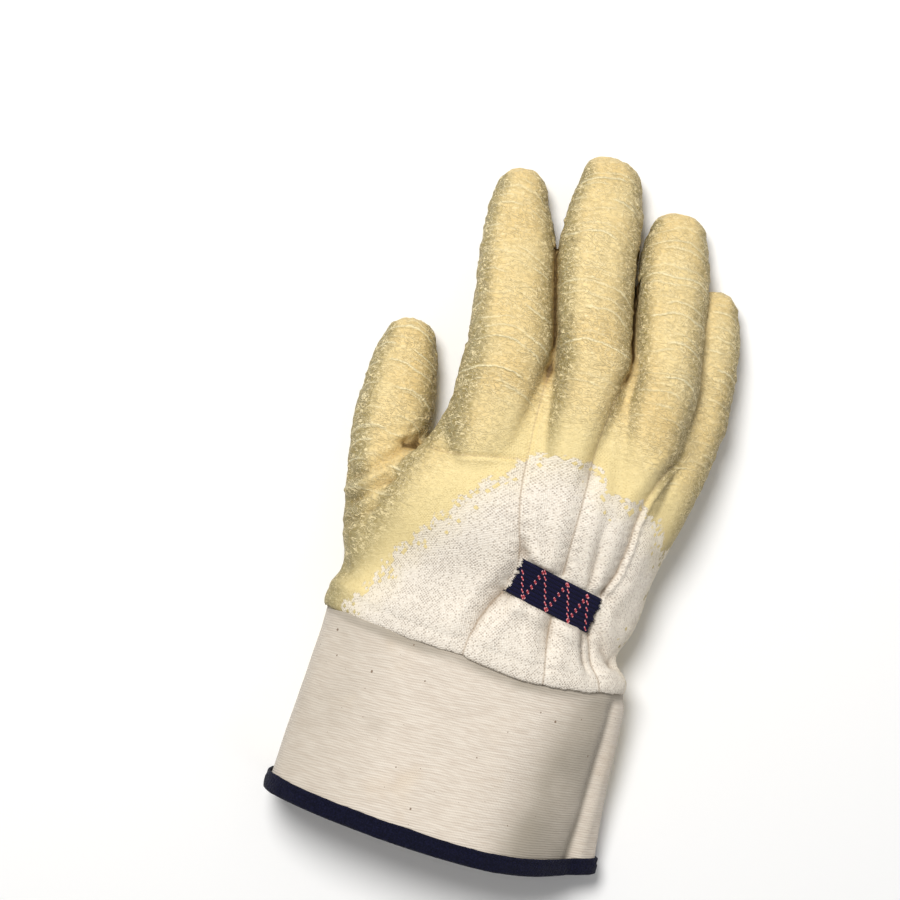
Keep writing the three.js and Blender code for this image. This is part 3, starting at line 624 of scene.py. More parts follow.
# The forks: neighbouring fingers lie against each other along these lines
forks = [
    ([(-2.4, 112), (-2.2, 122), (-3.9, 133), (-7.5, 146.7), (-11.5, 162), (-13, 170)],
     ((0, 0), (0.12, 2.2), (0.3, 5), (0.75, 5), (1, 2))),
    ([(27, 114), (28.5, 127), (26.6, 136), (23.6, 151.8), (21.3, 164), (19.5, 174)],
     ((0, 0), (0.15, 2.4), (0.35, 5), (0.8, 5), (1, 2))),
]
band_turn = math.radians(-11.63)
band_middle = np.array([22.9, 36.0])
band_axes = np.array([[math.cos(band_turn), math.sin(band_turn)], [-math.sin(band_turn), math.cos(band_turn)]])


def under_band(flat):
    """How much the elastic holds the cloth down at a place, 0 to 1."""
    band = (flat - band_middle) @ band_axes.T
    return smooth(np.abs(band[:, 0]), 19.5, 16.5) * smooth(np.abs(band[:, 1]), 8.6, 6.2)


def drawn_in(points, facing):
    """The points moved in by the seams, the gathers, the folds and the elastic."""
    flat, top = points[:, :2], smooth(facing[:, 2], 0.0, 0.4)
    dent = np.zeros(len(points))
    for line, depths, half, power in valleys:
        away, side, share = line_distance(flat, line)
        depth = np.interp(share, *zip(*depths)) * smooth(np.hypot(*(flat - line[-1]).T) - away, -1, 1.5)
        dent += depth * bell(away, half, power)
    for line, depths, half, power in valleys[:3]:
        away, side, share = line_distance(flat, line)
        dent -= 0.32 * np.interp(share, *zip(*depths)) * bell(away - 2.2 * half, half)
    held = under_band(flat)
    band = (flat - band_middle) @ band_axes.T
    lap = bell(np.abs(band[:, 1]) - 10.6, 2.8) * smooth(np.abs(band[:, 0]), 20, 14)
    dent = dent * (1 - 0.9 * held) + 2.0 * held - 1.5 * lap * np.clip(1 - dent / 2.5, 0, 1)
    moved = points - facing * (dent * top)[:, None]
    for line, depths in forks:
        away, side, share = line_distance(flat, line)
        moved[:, 2] -= np.interp(share, *zip(*depths)) * bell(away, 1.15) * np.sign(points[:, 2] - 22)
    return moved


co, quads = melted(0, 0, 0.88)
co = relaxed(co, quads, 12, np.where(co[:, 2] < 1.2, 0.1, 0.5))
normal = normals_of(co, quads)
steep = smooth(1 - normal[:, 2], 0.2, 0.8)
# How far each place faces left or right in the camera's frame, for the painted shade on the latex's sides
turned = evened(normal[:, 0] * 0.96 + normal[:, 1] * 0.27, quads, 4)
base = co.copy()
x, y, z = base.T
xy = base[:, :2]
top = smooth(normal[:, 2], 0.0, 0.4)
held = under_band(xy)
co = drawn_in(base, normal)

# Two seams stand up as cords beside their valleys, and one thin seam crosses below the index finger
cords = np.zeros(len(co))
for line, first, last, off, rise in ((index_seam, 0.42, 0.86, 2.0, 0.7), (ring_seam, 0.36, 1.0, 1.5, 1.3)):
    away, side, share = line_distance(xy, np.array(line) + (off, 0))
    shown = smooth(share, first - 0.06, first + 0.06) * smooth(share, last + 0.06, last - 0.06)
    cords += rise * shown * (1 - held) * bell(away, 0.95)
away, side, share = line_distance(xy, cross_seam)
cords += (0.5 * bell(away * side - 1.3, 1.1) - 0.9 * bell(away, 0.8)) * (share > 0) * (share < 1)
co = co + normal * (cords * top)[:, None]
# The heel of the thumb is fuller on its outer side
fuller = 3.4 * bell(y - 34, 12) * smooth(-normal[:, 0], 0.1, 0.9) * smooth(-x, 44, 54)
co = co + normal * fuller[:, None]

# The edge of the latex on the back, as shares of the palm's width and length
bare_edge = np.array([
    (-0.44, -0.05), (-0.405, 0.08), (-0.352, 0.17), (-0.305, 0.28), (-0.245, 0.37), (-0.18, 0.47), (-0.125, 0.55),
    (-0.05, 0.61), (0.01, 0.68), (0.1, 0.695), (0.2, 0.7), (0.25, 0.64), (0.36, 0.625), (0.42, 0.58), (0.49, 0.48),
    (0.62, 0.42), (0.9, 0.42), (0.9, -0.3), (-0.44, -0.3), (-0.44, -0.05),
]) * (palm_width, palm_length)
edge_away, _, _ = line_distance(xy, bare_edge)
inside = np.zeros(len(xy), bool)
for (ax, ay), (bx, by) in zip(bare_edge[:-1], bare_edge[1:]):
    crosses = (ay > y) != (by > y)
    inside ^= crosses & (x < (bx - ax) * (y - ay) / (by - ay + 1e-12) + ax)
coat = np.maximum(np.where(inside, -edge_away, edge_away), 18.9 - z)
coat = np.where(normal[:, 2] < -0.3, np.maximum(coat, 6), coat)

# How far along its finger or thumb each place is, tilted so that lines of equal length arch over the back
along, ringed, second = np.zeros(len(co)), np.zeros(len(co)), np.zeros(len(co))
for number, (name, first, lean) in enumerate(
    (("index", 0.36, 0.05), ("middle", 0.4, 0.0), ("ring", 0.4, -0.1), ("little", 0.3, -0.2), ("thumb", 0.28, 0.1))
):
    points, tip = digit_path(name)
    path = spline(points, 200)
    cx, cz = np.interp(y, path[:, 1], path[:, 0]), np.interp(y, path[:, 1], path[:, 2])
    wide, thick = np.interp(y, path[:, 1], path[:, 3]), np.interp(y, path[:, 1], path[:, 4])
    dx, dz = (x - cx) / wide, (z - cz) / thick
    start = path[0, 1] + first * (tip[1] - path[0, 1])
    weight = smooth(np.hypot(dx, dz), 1.4, 1.05) * smooth(y, start - 6, start + 8)
    at = y + 8.0 * (1 - np.cos(np.arctan2(dx, dz))) + lean * wide * dx + 400 * number
    along = np.where(weight > ringed, at, along)
    second = np.where(weight > ringed, ringed, np.maximum(second, weight))
    ringed = np.maximum(ringed, weight)
ringed = np.clip(ringed - 1.2 * second, 0, 1)

# The latex stands above the cloth, and its crinkle lifts the surface too
amount = smooth(coat, 3, 36)
rough_skin = (0.13 + 0.36 * steep) * amount * (0.7 - 2 * np.abs(noise(base, 3.6, 1)))
rough_skin += (0.08 + 0.16 * steep) * amount * noise(base, 2.0, 2)
on_cloth = (1 - amount) * (1 - held)
rough_skin += 0.3 * noise(base, 13, 3) * smooth(coat, -4, 10) + 0.3 * noise(base, 9, 8) * on_cloth
rough_skin += 0.35 * smooth(coat, -0.5, 0.8) - 0.35
# Small puckers cross the seams
for line in (index_seam, middle_seam, ring_seam):
    far, side, share = line_distance(xy, line)
    pucker = np.sin(y * 2 * math.pi / 4.6 + noise(base, 9, 21) * 3 + side * 1.1)
    rough_skin += 0.22 * top * pucker * bell(far - 2.2, 1.8) * smooth(coat, 14, 0) * (1 - held)
# The end at the wrist is turned over the top of the cuff and hangs just past it
past_wrist = y - wrist_rise(x)
rough_skin += (1.4 + 0.25 * noise(base, 9, 61)) * smooth(past_wrist, 7, 1.5)
floor_clear = smooth(base[:, 2], 0.4, 2.5)
co = co + normal * (rough_skin * np.where(normal[:, 2] < 0, floor_clear, 1))[:, None]
left, right, up, tall = palm_rows[0, 1:5]
rim_across, rim_up = rounded(241, True)
rim = np.stack([
    (left + right) / 2 * palm_width + (right - left) / 2 * palm_width * rim_across,
    palm_lift + up * palm_height + tall * palm_height * rim_up,
], -1)
away, side, share = line_distance(co[:, [0, 2]], rim)
co[:, 1] -= 1.3 * smooth(away * side, 0.15, 0.75) * smooth(past_wrist, 5, 0.8)
co[:, 1] += lip_rise(x) * smooth(past_wrist, 16, 0)
co[:, 2] = np.maximum(co[:, 2], 0.05)
normal = normals_of(co, quads)
# A cavity measure, how far each place lies below its smoothed surroundings, and thin lines along the forks where the
# fingers lie against each other: where the colours lay painted shade
settled = relaxed(co, quads, 50)
cavity = ((settled - co) * normal).sum(1)
hollow_shade = evened(smooth(cavity, 0.25, 1.7), quads, 2)
for line, depths in forks:
    away, side, share = line_distance(xy, line)
    hollow_shade = np.maximum(hollow_shade, bell(away, 1.1, 4) * smooth(share, 0.16, 0.3))
fields = {"coat": coat, "along": along, "ringed": ringed, "hollow_shade": hollow_shade, "turned": turned}
# Signed distances across the seams, for the painted shade along them
for number, line in enumerate((index_seam, middle_seam, ring_seam, cross_seam), 1):
    far, side, share = line_distance(xy, line)
    shown = (top > 0.2) & (share > 0.002) & (share < 0.998) & (held < 0.5)
    fields[f"seam_{number}"] = np.where(shown, np.clip(far * side, -4, 4), 4.0)


def inside_wrist(points, inset):
    """Whether points lie within the wrist's own outline moved in by a distance."""
    left, right, up, tall = palm_rows[0, 1:5]
    across = (points[:, 0] - (left + right) / 2 * palm_width) / ((right - left) / 2 * palm_width - inset)
    rise = (points[:, 2] - palm_lift - up * palm_height) / (tall * palm_height - inset)
    return np.abs(across) ** 2.4 + np.abs(rise) ** 2.4 < 1


def new_piece(name, points, faces, material):
    """A new piece from points in millimetres."""
    mesh = bpy.data.meshes.new(name)
    mesh.from_pydata(((points + shift) * 0.001).tolist(), [], faces)
    mesh.polygons.foreach_set("use_smooth", [True] * len(faces))
    mesh.materials.append(material)
    thing = bpy.data.objects.new(name, mesh)
    scene.collection.objects.link(thing)
    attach(thing, "root")
    return thing


def piece_of(name, co, faces, material, normals=None, fields=None):
    """A new piece that keeps only the points that its faces use."""
    faces = np.asarray(faces)
    used, packed = np.unique(faces, return_inverse=True)
    thing = new_piece(name, co[used], packed.reshape(faces.shape).tolist(), material)
    for key, values in (fields or {}).items():
        thing.data.attributes.new(key, "FLOAT", "POINT").data.foreach_set("value", values[used].astype(np.float32))
    if normals is not None:
        thing.data.normals_split_custom_set_from_vertices(normals[used].tolist())
    return thing


def laid_on_cloth(thing, where):
    """Gives each corner of each face its place on the flat cloth, in millimetres, from its point's number."""
    corners = np.empty(len(thing.data.loops), int)
    thing.data.loops.foreach_get("vertex_index", corners)
    thing.data.uv_layers.new(name="cloth").data.foreach_set("uv", (where(corners) * 0.001).ravel())


centre = co[quads].mean(1)
face_normal = normal[quads].mean(1)
on_end = (face_normal[:, 1] < -0.55) & (centre[:, 1] < wrist_rise(centre[:, 0]) + lip_rise(centre[:, 0]) + 2.5)
kept = ~(on_end & inside_wrist(centre, 2.4))
face_coat = coat[quads].mean(1)
hand_coat = piece_of("hand_coat", co, quads[kept & (face_coat > 0)], hand_material, normal, fields)
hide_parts("latex_hand")


# The bare back: four panels of jersey, seamed to one another, cut from the same skin below the latex's edge
def beside_seam(line):
    line = np.asarray(line)
    return centre[:, 0] > np.interp(centre[:, 1], line[:, 1], line[:, 0])


column = beside_seam(index_seam).astype(int) + beside_seam(middle_seam) + beside_seam(ring_seam)
# Each panel as it was cut: its greatest width, its length and its area, in metres
cut_panels = {
    "index": (0.058, 0.09, 0.0028), "middle": (0.033, 0.09, 0.00236), "ring": (0.028, 0.086, 0.00196),
    "little": (0.032, 0.073, 0.0016),
}
for number, (name, (wide, long, area)) in enumerate(cut_panels.items()):
    panel = piece_of(
        f"back_{name}", co, quads[kept & (face_coat <= 0) & (column == number)], hand_material, normal, fields
    )
    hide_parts(f"back_panel_{name}")

# The inside of the hand: the uncoated face of the jersey, brushed soft, seen only through the cuff
lining_material, tree = new_material("brushed_jersey", Roughness=0.95, Sheen_Weight=0.3)
place = place_in_part()
cloth, nap = use(knit, Place=place, Pitch=1.1, Slant=0.0), noisy(place, 0.5, 5.0)[0]
to_shader(mix(ramp(nap, 0.3, 0.7), (0.6, 0.53, 0.43), (0.78, 0.71, 0.6)), plus(cloth["Height"], nap), 0.0004)
inner_co, inner_quads = melted(-2.3, 1.0, 2.4)
inner_co = relaxed(inner_co, inner_quads, 3)
inner_normal = normals_of(inner_co, inner_quads)
inner_co = drawn_in(inner_co, inner_normal) - inner_normal * (0.3 + 1.8 * smooth(inner_co[:, 1:2], 90, 112))
inner_centre = inner_co[inner_quads].mean(1)
inner_facing = normals_of(inner_co, inner_quads)[inner_quads].mean(1)
is_end = (inner_facing[:, 1] < -0.5) & (inner_centre[:, 1] < wrist_rise(inner_centre[:, 0]) + 5)
lining = piece_of("hand_lining", inner_co, inner_quads[~is_end][:, ::-1], lining_material)

# The safety cuff: a tube of starched cotton twill that flares to its hem, pressed flat into a fold at the
# little finger's side. Its wall has a face and a back, and it is dented a little by handling.
canvas_material, tree = new_material(
    "starched_twill", Roughness=0.88, Specular_IOR_Level=0.25, Sheen_Weight=0.15
)
weave_place = place_on_cloth()
shaken = vector("ADD", weave_place, vector("SCALE", noisy(weave_place, 0.05, 1.0)["Color"], 1.6))
axes = node("SeparateXYZ", {0: shaken})
ribs = maths("SINE", times_plus(axes[0], 0.35, times(axes[1], 2 * math.pi / 0.95)))
threads = maths("SINE", times(axes[0], 2 * math.pi / 0.7))
streaks = noisy(vector("MULTIPLY", shaken, (0.12, 1.3, 1.0)), 1.0, 3.0)[0]
clouds = noisy(weave_place, 0.03, 4.0)[0]
floats = times(ramp(ribs, 0.2, -1.0, 0.0, 0.22), ramp(threads, -0.9, 0.5, 0.45, 1.0))
seeds = cells(weave_place, 0.085)
seed_dice = dice_of(seeds)
seed_size = times_plus(maths("POWER", seed_dice[1], 3.0), 0.04, 0.012)
seed = times(maths("LESS_THAN", seeds["Distance"], seed_size), maths("GREATER_THAN", seed_dice[0], 0.55))
# On the palm's side the latex runs on over the top of the cuff, and thins out in blotches
dipped = use(soak, Place=place_in_part(), Reach=field("reach"))
canvas_colour = layered(
    mix(ramp(streaks, 0.3, 0.7), (0.69, 0.6, 0.505), (0.8, 0.72, 0.62)),
    (floats, (0.53, 0.45, 0.36)),
    (ramp(clouds, 0.54, 0.74, 0.0, 0.3), (0.7, 0.55, 0.38)),
    # painted shade beside the fold, on the left edge and under the hand's turned end, with one stain on the thumb's
    # side, all in blotches
    (times(field("stain_and_shade"), ramp(clouds, 0.3, 0.6, 0.6, 0.85)), (0.335, 0.295, 0.235)),
    (times(seed, 0.8), (0.16, 0.09, 0.05)),
    (times(dipped["Stain"], 0.3), (0.86, 0.72, 0.42)),
    (dipped["Coated"], (0.83, 0.68, 0.35)),
)
to_shader(canvas_colour, plus(plus(times(ribs, 0.5), times(threads, 0.2)), times(streaks, 0.7)), 0.0001)

cuff_length, hem_sag, cuff_wall = 65.4, 6, 2.0
# Sections at the wrist and at the hem: shares of half the width and of the height
cuff_section = np.array([
    (-1, 0.5, -1, 0.45), (-0.93, 0.78, -0.955, 0.78), (-0.72, 0.94, -0.76, 0.93), (-0.38, 1, -0.42, 0.985),
    (0, 1, -0.02, 1), (0.36, 0.98, 0.32, 0.94), (0.68, 0.9, 0.6, 0.75), (0.88, 0.76, 0.79, 0.46),
    (0.955, 0.64, 0.845, 0.36), (0.985, 0.55, 0.94, 0.3), (1, 0.42, 1, 0.2), (0.96, 0.24, 0.955, 0.08),
    (0.76, 0.06, 0.74, 0.02), (0.38, 0, 0.36, 0), (0, 0, 0, 0), (-0.4, 0, -0.42, 0), (-0.78, 0.06, -0.8, 0.04),
    (-0.95, 0.24, -0.96, 0.2),
])


def cuff_ring(share, out, count=420):
    """A ring of the cuff: points in millimetres, its outward directions and the length round it."""
    half = (121 + 12 * share) / 2
    tall = 39 + 5 * share
    section = cuff_section[:, :2] * (1 - share) + cuff_section[:, 2:] * share
    knots = section * (half - cuff_wall / 2, tall - cuff_wall) + (hem_shift * share, 2.4)
    closed = np.concatenate([knots[-2:], knots, knots[:3]])
    fine = spline(closed, (len(closed) - 1) * 60 + 1)[120:120 + len(knots) * 60 + 1]
    steps = np.concatenate([[0], np.cumsum(np.linalg.norm(np.diff(fine, axis=0), axis=1))])
    at = np.linspace(0, steps[-1], count, endpoint=False)
    ring = np.stack([np.interp(at, steps, fine[:, k]) for k in range(2)], -1)
    ring[:, 1] = np.maximum(ring[:, 1], 2.4)
    side = np.roll(ring, -3, axis=0) - np.roll(ring, 3, axis=0)
    side /= np.linalg.norm(side, axis=1)[:, None]
    outward = np.stack([-side[:, 1], side[:, 0]], -1)
    across = np.clip((ring[:, 0] - hem_shift * share) / half, -1, 1)
    away = across - 0.3
    bow = np.where(away < 0, away / 1.3, away / 0.7) ** 2
    back = 0.3 + share * (cuff_length + hem_sag * (1 - bow))
    back = back - (wrist_rise(ring[:, 0]) + lip_rise(ring[:, 0])) * max(0, 1 - share)
    moved = ring + outward * out
    return np.stack([moved[:, 0], -back, moved[:, 1]], -1), outward, at


# A broad dip runs down the cuff beside its fold, where it is bent by handling
cuff_dip = [(42.7, -2.2), (37.2, -12.1), (33.4, -31.6), (27.9, -60.9)]


def pushed(ring, outward, by):
    """A ring of the cuff moved outwards, by a distance at each of its points."""
    return ring + np.stack([outward[:, 0] * by, np.zeros(len(ring)), outward[:, 1] * by], -1)


def cuff_skin(rows, out):
    rings = []
    for share in rows:
        ring, outward, _ = cuff_ring(share, out)
        x, _, z = ring.T
        sway = 0.75 * noise(ring * (1, 0.7, 1), 26, 31) + 0.3 * noise(ring, 11, 32)
        crease = bell(x - 57.0, 1.9, 1.6) - 0.75 * bell(x - 61.4, 2.6)
        crease += 0.9 * bell(line_distance(ring[:, :2], cuff_dip)[0], 8) * smooth(share, 1.0, 0.8)
        crease *= smooth(z, 9, 13) * smooth(share, 0.0, 0.1)
        sway = sway * smooth(z, 2.0, 9.0) * smooth(share, 0.0, 0.15) * smooth(share, 1.08, 0.9)
        rings.append(pushed(ring, outward, sway - 1.2 * crease))
    return np.array(rings)


rows = np.linspace(0, 1, 56)
outer, inner = cuff_skin(rows, cuff_wall / 2), cuff_skin(rows, -cuff_wall / 2)
outer[0] += (outer[1] - outer[0]) * 0.3
round_top = cuff_ring(0, cuff_wall / 4)[0][None], cuff_ring(0, -cuff_wall / 4)[0][None]
round_hem = cuff_ring(1, cuff_wall / 4)[0][None], cuff_ring(1, -cuff_wall / 4)[0][None]
skins = np.concatenate([round_top[0], outer, round_hem[0], round_hem[1], inner[::-1], round_top[1]])
count = skins.shape[1]
cuff_quads = ring_quads(len(skins), count, len(skins))[:, ::-1]
cuff_points = skins.reshape(-1, 3)
x, y, z = cuff_points.T
dip_x = np.interp(-y, [-p[1] for p in cuff_dip], [p[0] for p in cuff_dip])
# Painted shade on the top of the cuff: from the dip to the crease beside the fold and along the left edge, with a
# painted shadow just under the hand's turned end. One stain lies on the thumb's side.
folded = smooth(x - dip_x, -8, 9) * (1 - 0.85 * smooth(x, 56.2, 58.4))
upward = smooth(z, 9, 14)
stain_and_lip_shadow = 0.3 * bell(line_distance(cuff_points[:, :2], [(-47, -21), (-31, -31)])[0], 6)
below_lip = wrist_rise(x) + lip_rise(x) - 2.6 - y
stain_and_lip_shadow = np.maximum(stain_and_lip_shadow, 0.9 * bell(np.maximum(below_lip, 0), 2.2))
stain_shade_and_reach = {
    "stain_and_shade": np.maximum(np.maximum(folded, stain_and_lip_shadow), 0.5 * smooth(x, -18, -56)) * upward,
    "reach": 40 + y - 60 * upward,
}
cuff = piece_of("cuff_canvas", cuff_points, cuff_quads, canvas_material, None, stain_shade_and_reach)


def on_canvas(corners):
    column = (corners % count).reshape(-1, 4)
    column = np.where((column == 0) & (column.max(1, keepdims=True) == count - 1), count, column).ravel()
    return np.stack([column * 0.85, -cuff_points[corners, 1]], -1)


laid_on_cloth(cuff, on_canvas)
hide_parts("safety_cuff")

# The binding: navy cotton tape folded over the hem and stitched through near its edge
tape_material, tree = new_material(
    "navy_tape", Roughness=0.9, Sheen_Weight=0.03, Sheen_Roughness=0.4, Specular_IOR_Level=0.2
)
place = place_in_part()
cloth, lint = use(knit, Place=place, Pitch=0.8, Slant=0.3), noisy(place, 1.4, 4.0)[0]
navy = mix(ramp(lint, 0.35, 0.75), (0.002, 0.0025, 0.014), (0.008, 0.009, 0.036))
to_shader(navy, plus(cloth["Height"], lint), 0.00035)
binding_depth, tape, gap = 6.3, 1.1, 0.25
inside_at, outside_at = cuff_wall / 2 + gap, cuff_wall / 2 + gap + tape
bottom = gap + tape
profile = []
for k in range(13):
    t = math.pi * k / 12
    profile.append((outside_at * math.cos(t), -bottom + 1.1 - 1.1 * math.sin(t)))
side_rows = np.linspace(0.15, 1, 9)
up_right = [(outside_at + 0.4 * math.sin(math.pi * s), 1.1 - bottom + s * (binding_depth - 1.1)) for s in side_rows]
top_right = [(outside_at - 0.35, binding_depth - bottom + 0.25), (inside_at + 0.1, binding_depth - bottom + 0.1)]
right_side = list(reversed(top_right)) + list(reversed(up_right))
profile = right_side + profile + [(-a, b) for a, b in up_right + top_right]
profile += [(-inside_at, -gap * 0.5), (inside_at, -gap * 0.5)]
tape_rings = []
for out, up in profile:
    ring, outward, at = cuff_ring(1 - up / cuff_length, out)
    face = abs(out) > inside_at + 0.3
    wave = 0.22 * noise(ring, 4.0, 41) + 0.12 * noise(ring, 1.8, 42)
    stitch = np.cos(at * 2 * math.pi / 3.1) > 0.1
    groove = 0.45 * math.exp(-((up - (binding_depth - bottom - 1.7)) / 0.6) ** 2) * (0.6 + 0.4 * stitch)
    move = (wave - groove) * face * math.copysign(1, out)
    ring = pushed(ring, outward, move)
    ring[:, 1] += (0.3 * noise(ring, 6.0, 43) + 0.12 * noise(ring, 1.6, 44)) * face
    tape_rings.append(ring)
tape_rings = np.array(tape_rings)
tape_rings[:, :, 2] = np.maximum(tape_rings[:, :, 2], 0.02)
tape_quads = ring_quads(len(tape_rings), count, len(tape_rings))[:, [0, 3, 2, 1]]
binding = piece_of("hem_binding", tape_rings.reshape(-1, 3), tape_quads, tape_material)
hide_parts("cuff_binding")

# The elastic: a short length of ribbed navy elastic, cut with rough ends and sewn down under tension over the
# gathers of the back with four rows and three slants of red thread
elastic_material, tree = new_material(
    "ribbed_elastic", Roughness=0.85, Sheen_Weight=0.04, Specular_IOR_Level=0.25, Sheen_Roughness=0.4
)
weave_place = place_on_cloth()
axes, lint = node("SeparateXYZ", {0: weave_place}), noisy(weave_place, 1.6, 4.0)[0]
navy = layered(
    mix(ramp(lint, 0.3, 0.75), (0.003, 0.003, 0.024), (0.008, 0.008, 0.056)),
    (times(ramp(maths("COSINE", times(axes[1], 4 * math.pi / 1.62)), 0.2, 1.0), 0.4), (0.002, 0.002, 0.008)),
    (times(ramp(maths("COSINE", times(axes[1], 2 * math.pi / 1.62)), 0.1, -0.9), 0.6), (0.002, 0.002, 0.006)),
)
to_shader(navy, plus(times(maths("SINE", times(axes[0], 2 * math.pi / 0.62)), 0.35), lint), 0.0003)
band_length, band_width, band_thickness, rib = 35.3, 14.5, 1.2, 1.62
across_u, across_v = 190, 100
top_skin = BVHTree.FromPolygons(co.tolist(), quads[kept].tolist())


def drop_to_skin(points):
    heights = []
    for px, py in points:
        hit = top_skin.ray_cast(Vector((px, py, 90)), Vector((0, 0, -1)))[0]
        heights.append(hit.z if hit else 40.0)
    return np.array(heights)


u, v = np.meshgrid(np.linspace(-0.5, 0.5, across_u), np.linspace(-0.5, 0.5, across_v))
u, v = u * band_length, v * band_width
ends = smooth(np.abs(u), band_length / 2 - 3, band_length / 2)
rib_number = np.floor((v + band_width / 2) / rib)
ragged = np.random.default_rng(7).uniform(-0.6, 0.6, (2, 16))
side_of = (u > 0).astype(int)
ragged_u = ragged[side_of, rib_number.astype(int)] + 0.3 * np.sin(v * 9.0)
u = u + ragged_u * ends * 0.9
lean = (0.04 * v + 1.2 * (1 - (2 * v / band_width) ** 2)) * ends * (u < 0)
u = u + lean
flat = np.stack([u.ravel(), v.ravel()], -1) @ band_axes + band_middle
ground = drop_to_skin(flat).reshape(u.shape)


def blurred(grid, width, axis):
    kernel = bell(np.arange(-3 * width, 3 * width + 1), width)
    kernel /= kernel.sum()
    pad = [(0, 0), (0, 0)]
    pad[axis] = (3 * width, 3 * width)
    padded = np.pad(grid, pad, mode="edge")
    return np.apply_along_axis(lambda line: np.convolve(line, kernel, "valid"), axis, padded)


level = blurred(blurred(ground, 26, 1), 12, 0)
level = level + max(0.0, np.percentile(ground - level, 90)) + 0.1
scallop = 0.35 * np.abs(np.sin((v + band_width / 2) * math.pi / rib)) ** 0.6
edge_round = smooth(np.abs(v), band_width / 2 - 0.05, band_width / 2 - 0.9)
top_z = level + 0.55 + (band_thickness - 0.55 + scallop - 0.2) * edge_round * (1 - 0.35 * ends)
top_z = top_z + 0.12 * noise(np.stack([flat[:, 0], flat[:, 1], flat[:, 0] * 0], -1), 2.5, 51).reshape(u.shape)
flat_xy = flat.reshape(*u.shape, 2)
upper = np.concatenate([flat_xy, top_z[..., None]], -1)
under = np.concatenate([flat_xy, level[..., None]], -1)
band_points = np.concatenate([upper.reshape(-1, 3), under.reshape(-1, 3)])
i, r = np.meshgrid(np.arange(across_u - 1), np.arange(across_v - 1))
a = (r * across_u + i).ravel()
total = across_u * across_v
tops = np.stack([a, a + 1, a + across_u + 1, a + across_u], -1)
bottoms = tops[:, ::-1] + total
border = np.concatenate([
    np.arange(across_u - 1), np.arange(across_v - 1) * across_u + across_u - 1,
    (total - 1) - np.arange(across_u - 1), (total - across_u) - np.arange(across_v - 1) * across_u,
])
after = np.roll(border, -1)
walls = np.stack([after, border, border + total, after + total], -1)
elastic = piece_of("back_elastic", band_points, np.concatenate([tops, bottoms, walls]), elastic_material)
where = np.tile(np.stack([u.ravel(), v.ravel() + band_width / 2 + rib / 2], -1), (2, 1))
laid_on_cloth(elastic, lambda corners: where[corners])
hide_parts("elastic_band")


def band_surface(uv):
    """Points on the elastic's face at places along and across it, in millimetres."""
    uv = np.asarray(uv, float)
    row = np.clip((uv[:, 1] / band_width + 0.5) * (across_v - 1), 0, across_v - 1).astype(int)
    col = np.clip((uv[:, 0] / band_length + 0.5) * (across_u - 1), 0, across_u - 1).astype(int)
    flat_at = uv @ band_axes + band_middle
    return np.concatenate([flat_at, top_z[row, col][:, None]], -1)


def threads_of(name, lines, radius, material, sides=6):
    """Short round threads along lines of points, as one piece."""
    points, faces = [], []
    turn = np.linspace(0, 2 * math.pi, sides, endpoint=False)[:, None]
    for line in lines:
        line = np.asarray(line, float)
        along = np.gradient(line, axis=0)
        along /= np.linalg.norm(along, axis=1)[:, None]
        across = np.cross(along, (0, 0, 1.0))
        across /= np.maximum(np.linalg.norm(across, axis=1), 1e-6)[:, None]
        over = np.cross(across, along)
        girth = radius * np.sqrt(np.clip(1 - np.linspace(-0.93, 0.93, len(line)) ** 6, 0.05, 1))
        round_it = across[:, None] * np.cos(turn) + over[:, None] * np.sin(turn)
        p, f = loft(line[:, None] + girth[:, None, None] * round_it)
        faces += [tuple(v + len(points) for v in face) for face in f]
        points += p.tolist()
    return new_piece(name, np.array(points), faces, material)


# Sewing thread: red cotton mixed from two tones along its twist, and a pale pink copy of it that stands for the painted
# highlights at the ends of each stitch
thread_materials = {}
for name, deep, pale in (
    ("red_thread", (0.42, 0.008, 0.02), (0.68, 0.03, 0.05)), ("thread_highlight", (0.8, 0.2, 0.24), (0.93, 0.45, 0.46)),
):
    thread_materials[name], tree = new_material(name, Roughness=0.6, Sheen_Weight=0.2)
    ply = noisy(node("TexCoord", {})["Object"], 2200.0, 3.0)[0]
    to_shader(mix(ramp(ply, 0.35, 0.65), deep, pale), ply, 0.0002)

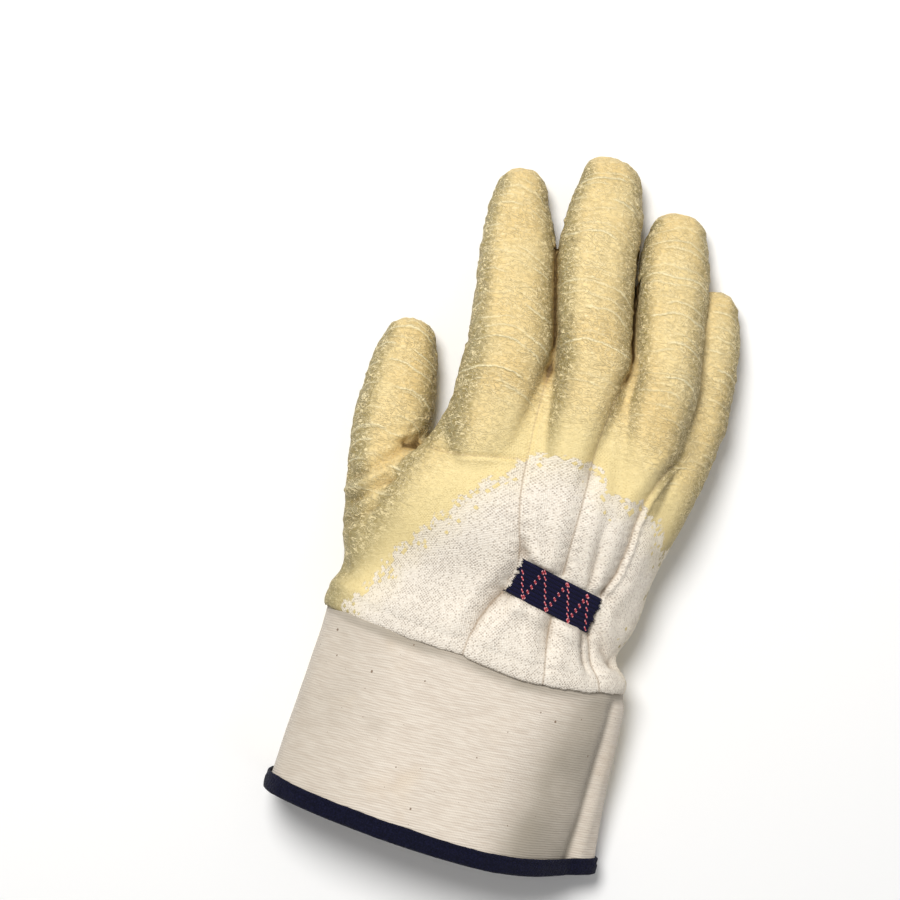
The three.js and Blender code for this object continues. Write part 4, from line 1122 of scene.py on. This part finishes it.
# Rows and slants: where each starts and ends, along and across the elastic
rows_of_stitches = [
    ((-15.3, 2.95), (-10.5, -6.6)), ((-7.6, 6.9), (-0.3, -6.9)), ((2.7, 6.6), (9.4, -6.9)), ((11.6, 6.2), (17.0, -6.4)),
    ((-10.2, -6.2), (-8.0, 6.4)), ((-0.2, -6.4), (2.5, 6.4)), ((9.2, -6.4), (11.6, 6.0)),
]
red, highlights = [], []
# Each stitch is red in its middle, with pale pink bits at both its ends: painted highlights, set off on the same slant
# in every stitch
highlight_slant = np.array([0.8, -0.6])
for start, end in rows_of_stitches:
    start, end = np.array(start), np.array(end)
    length = np.linalg.norm(end - start)
    along = (end - start) / length
    number = int(round(length / 2.65)) + 1
    for k in range(number):
        middle_at = start + along * (0.5 + k * (length - 1) / (number - 1))
        for offset, half, store in ((0, 0.62, red), (-0.62, 0.34, highlights), (0.62, 0.34, highlights)):
            spots = [middle_at + along * t * half + highlight_slant * offset for t in np.linspace(-1, 1, 7)]
            line = band_surface(spots)
            line[:, 2] = line[:, 2].mean() + 0.2 - 0.4 * np.linspace(-1, 1, 7) ** 4
            store.append(line)
for name, rows_sewn, material in (
    ("stitches_red", red, "red_thread"), ("stitch_highlights", highlights, "thread_highlight"),
):
    threads_of(name, rows_sewn, 0.2, thread_materials[material])

# The cut ends of the elastic fray into short curled threads
rng = np.random.default_rng(23)
frays = []
for side in (-1, 1):
    for k in range(46):
        v0 = rng.uniform(-band_width / 2, band_width / 2)
        length, bend = rng.uniform(0.7, 1.6), rng.uniform(-0.8, 0.8)
        row = min(int((v0 / band_width + 0.5) * (across_v - 1)), across_v - 1)
        u0 = u[row, -1] if side > 0 else u[row, 0]
        t = np.linspace(0, 1, 6)
        spots = np.stack([u0 + side * (t * length - 0.8), v0 + bend * t ** 2], -1)
        flat_at = spots @ band_axes + band_middle
        rise = level[row, -1 if side > 0 else 0] + rng.uniform(0.2, 0.9) - 0.5 * t ** 2 * rng.uniform(0, 1)
        frays.append(np.concatenate([flat_at, np.asarray(rise).reshape(-1, 1)], -1))
fray = threads_of("elastic_fray", frays, 0.13, elastic_material, 5)
fray.data.uv_layers.new(name="cloth")

boxes = {"cad": cad_box, "visual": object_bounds()}
boxes = {name: [list(map(float, corner)) for corner in box] for name, box in boxes.items()}
